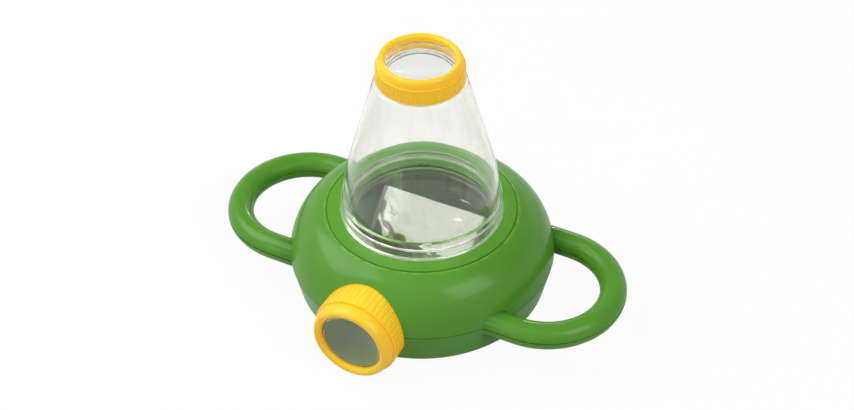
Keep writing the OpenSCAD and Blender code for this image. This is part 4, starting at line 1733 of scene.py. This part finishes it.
@dataclass
class Studio:
    """The floor, the light and the camera."""

    floor_reach: float = 6000.0
    floor_drop: float = 0.05
    floor_colour: Colour = (0.95, 0.95, 0.95, 1.0)
    floor_bounce: Colour = (0.45, 0.45, 0.45, 1.0)
    floor_white: float = 0.95
    gloss_share: float = 0.15
    sky_level: float = 0.32
    sky_white: float = 0.967
    front_ceiling: float = 1.0
    back_ceiling: float = 0.36
    ceiling_range: Span = (-0.3, 0.4)
    height_range: Span = (0.2, 0.55)
    lamp_distance: float = 1300.0
    lamp_aim_z: float = 60.0
    path_length: int = 40
    elevation: float = 41.12
    azimuth: float = 27.17
    distance: float = 1047.2
    roll: float = -0.48
    target: Triple = (2.71, 1.39, 61.38)
    focal_share: float = 1755.8 / 854
    sensor: float = 36.0
    clip: Span = (0.01, 50.0)

    @staticmethod
    def rays(graph: Graph) -> tuple[Wire, Wire]:
        """Return 1 for camera and transmission rays, and 1 for glossy rays."""
        path = graph.add("ShaderNodeLightPath", output="Is Camera Ray")
        return (path + path.out("Is Transmission Ray")).least(1.0), path.out("Is Glossy Ray")

    def floor(self) -> None:
        """Lay a pale floor that keeps the model's shadow."""
        half = self.floor_reach / 2 * MM
        low = -self.floor_drop * MM
        mesh = bpy.data.meshes.new("floor")
        mesh.from_pydata(
            [(-half, -half, low), (half, -half, low), (half, half, low), (-half, half, low)],
            [],
            [(0, 1, 2, 3)],
        )
        graph = ShaderGraph("pale_floor")
        clear, glossy = self.rays(graph)
        colour = graph.mix_colour(clear.most(glossy), self.floor_bounce, self.floor_colour)
        plain = graph.add("ShaderNodeBsdfDiffuse", {}, {"Color": colour})
        white = graph.add("ShaderNodeEmission", {}, {"Color": WHITE, "Strength": 1.0})
        share = clear.most(glossy * self.gloss_share) * self.floor_white
        shader = graph.add("ShaderNodeMixShader", {}, {0: share, 1: plain, 2: white})
        mesh.materials.append(graph.finish(shader))
        linked_object("floor", mesh)

    def sky(self) -> None:
        """Set a plain level of light from all sides, which is seen as white."""
        world = bpy.data.worlds.new("studio")
        bpy.context.scene.world = world
        world.use_nodes = True
        world.node_tree.nodes.clear()
        graph = Graph(world.node_tree)
        toward = graph.add("ShaderNodeTexCoord", output="Generated")
        height = graph.add("ShaderNodeSeparateXYZ", {}, {0: toward}, "Z")
        ceiling = graph.spread(
            height.out("Y"), *self.ceiling_range, self.front_ceiling, self.back_ceiling
        )
        high = graph.spread(height, *self.height_range)
        shown = self.sky_white - high * (self.sky_white - ceiling)
        clear, glossy = self.rays(graph)
        strength = self.sky_level + clear.most(glossy) * (shown - self.sky_level)
        back = graph.add("ShaderNodeBackground", {}, {"Color": WHITE, "Strength": strength})
        graph.add("ShaderNodeOutputWorld", {}, {"Surface": back})

    def lamp(self, name: str, direction: Sequence[float], size: float, power: float) -> None:
        """Hang a soft square lamp.

        Args:
            name: Name of the lamp.
            direction: Where it hangs, seen from the model.
            size: Length of its side.
            power: Its power in watts.
        """
        data = bpy.data.lights.new(name, "AREA")
        data.shape = "SQUARE"
        data.size = size * MM
        data.energy = power
        owner = linked_object(name, data)
        aim = Vector(direction).normalized()
        owner.location = (Vector((0, 0, self.lamp_aim_z)) + aim * self.lamp_distance) * MM
        owner.rotation_euler = aim.to_track_quat("Z", "Y").to_euler()

    def camera(self) -> None:
        """Set the camera at the photograph's angle."""
        turned = Matrix.Rotation(math.radians(self.azimuth), 4, "Z")
        turned @= Matrix.Rotation(math.radians(90 - self.elevation), 4, "X")
        turned @= Matrix.Rotation(math.radians(self.roll), 4, "Z")
        data = bpy.data.cameras.new("camera")
        data.sensor_width = self.sensor
        data.lens = self.focal_share * self.sensor
        data.clip_start, data.clip_end = self.clip
        owner = linked_object("camera", data)
        middle = Matrix.Translation(Vector(self.target) * MM)
        owner.matrix_world = middle @ turned @ Matrix.Translation((0, 0, self.distance * MM))
        bpy.context.scene.camera = owner

    def build(self) -> None:
        """Set up the whole studio."""
        scene = bpy.context.scene
        scene.view_settings.view_transform = "Standard"
        scene.cycles.max_bounces = self.path_length
        scene.cycles.glossy_bounces = self.path_length
        scene.cycles.transmission_bounces = self.path_length
        scene.cycles.transparent_max_bounces = self.path_length
        self.floor()
        self.sky()
        self.lamp("key_lamp", (-0.68, -0.16, 0.82), 1000, 9.2)
        self.lamp("side_lamp", (0.72, -0.2, 0.72), 700, 4.6)
        self.lamp("front_lamp", (-0.344, -0.877, 0.4), 70, 1.5)
        self.lamp("back_lamp", (-0.244, 0.922, 0.32), 70, 1.2)
        self.camera()


def top_ring(repeats: Repeats) -> LensRing:
    """Return the ring on top of the cone."""
    place = Matrix.Translation((0, 0, 155.9))
    return LensRing(
        repeats, "top", Body.TOP_RING, Body.TOP_LENS, "top_bezel", place,
        grip_r=25.6, grip_h=9.9, step_r=24.6, rim_h=5.0, open_r=20.0, bore_r=23.2,
        ribs=92, rib_share=0.74, rib_ease=2.2, rib_depth=0.34,
    )


def eyepiece_ring(repeats: Repeats) -> LensRing:
    """Return the ring on the side of the body."""
    return LensRing(
        repeats, "eyepiece", Body.EYE_RING, Body.EYE_LENS, "eyepiece_bezel", eye_place(65.3),
        grip_r=26.4, grip_h=20.3, step_r=25.1, rim_h=7.7, open_r=19.2, bore_r=23.4,
        ribs=48, rib_share=0.9, rib_ease=2.8, rib_depth=0.4, rib_end=0.9, lens_shoulder=0.9,
        lens_gap=0.75, lens_finish=EYE_CLEAR,
    )


def screw_sets(repeats: Repeats, shells: Shells) -> list[ScrewSet]:
    """Return the screws of the shells, the handles and the mirror's frame."""
    sides = ("front_left", "front_right", "back_left", "back_right")
    small = {"shank_r": 1.2, "length": 6.5, "head_r": 2.3, "head_h": 1.5}
    return [
        ScrewSet(
            repeats, "screws_base", [f"base_screw_{side}" for side in sides],
            raised(shells.screws(), shells.well_top),
            shank_r=1.5, length=12.0, head_r=2.8, head_h=2.0,
        ),
        ScrewSet(
            repeats, "screws_handle", ["handle_screw_left", "handle_screw_right"],
            raised(shells.handles(), shells.handle_well_top), **small,
        ),
        ScrewSet(
            repeats, "screws_mirror", ["mirror_screw_left", "mirror_screw_right"],
            raised(shells.tabs(), shells.tab_top), **small, head_up=True,
        ),
    ]


def main() -> None:
    """Build the model and its studio; each piece logs how many faces it has."""
    logging.basicConfig(level=logging.INFO, format="%(message)s")
    repeats = Repeats()
    shells = Shells()
    shells.dress()
    Chamber(shells).dress()
    Cone(repeats).dress()
    top_ring(repeats).dress()
    eyepiece_ring(repeats).dress()
    Barrel(repeats).dress()
    MirrorUnit(shells).dress()
    for screws in screw_sets(repeats, shells):
        screws.dress()
    Studio().build()


if __name__ == "__main__":
    main()
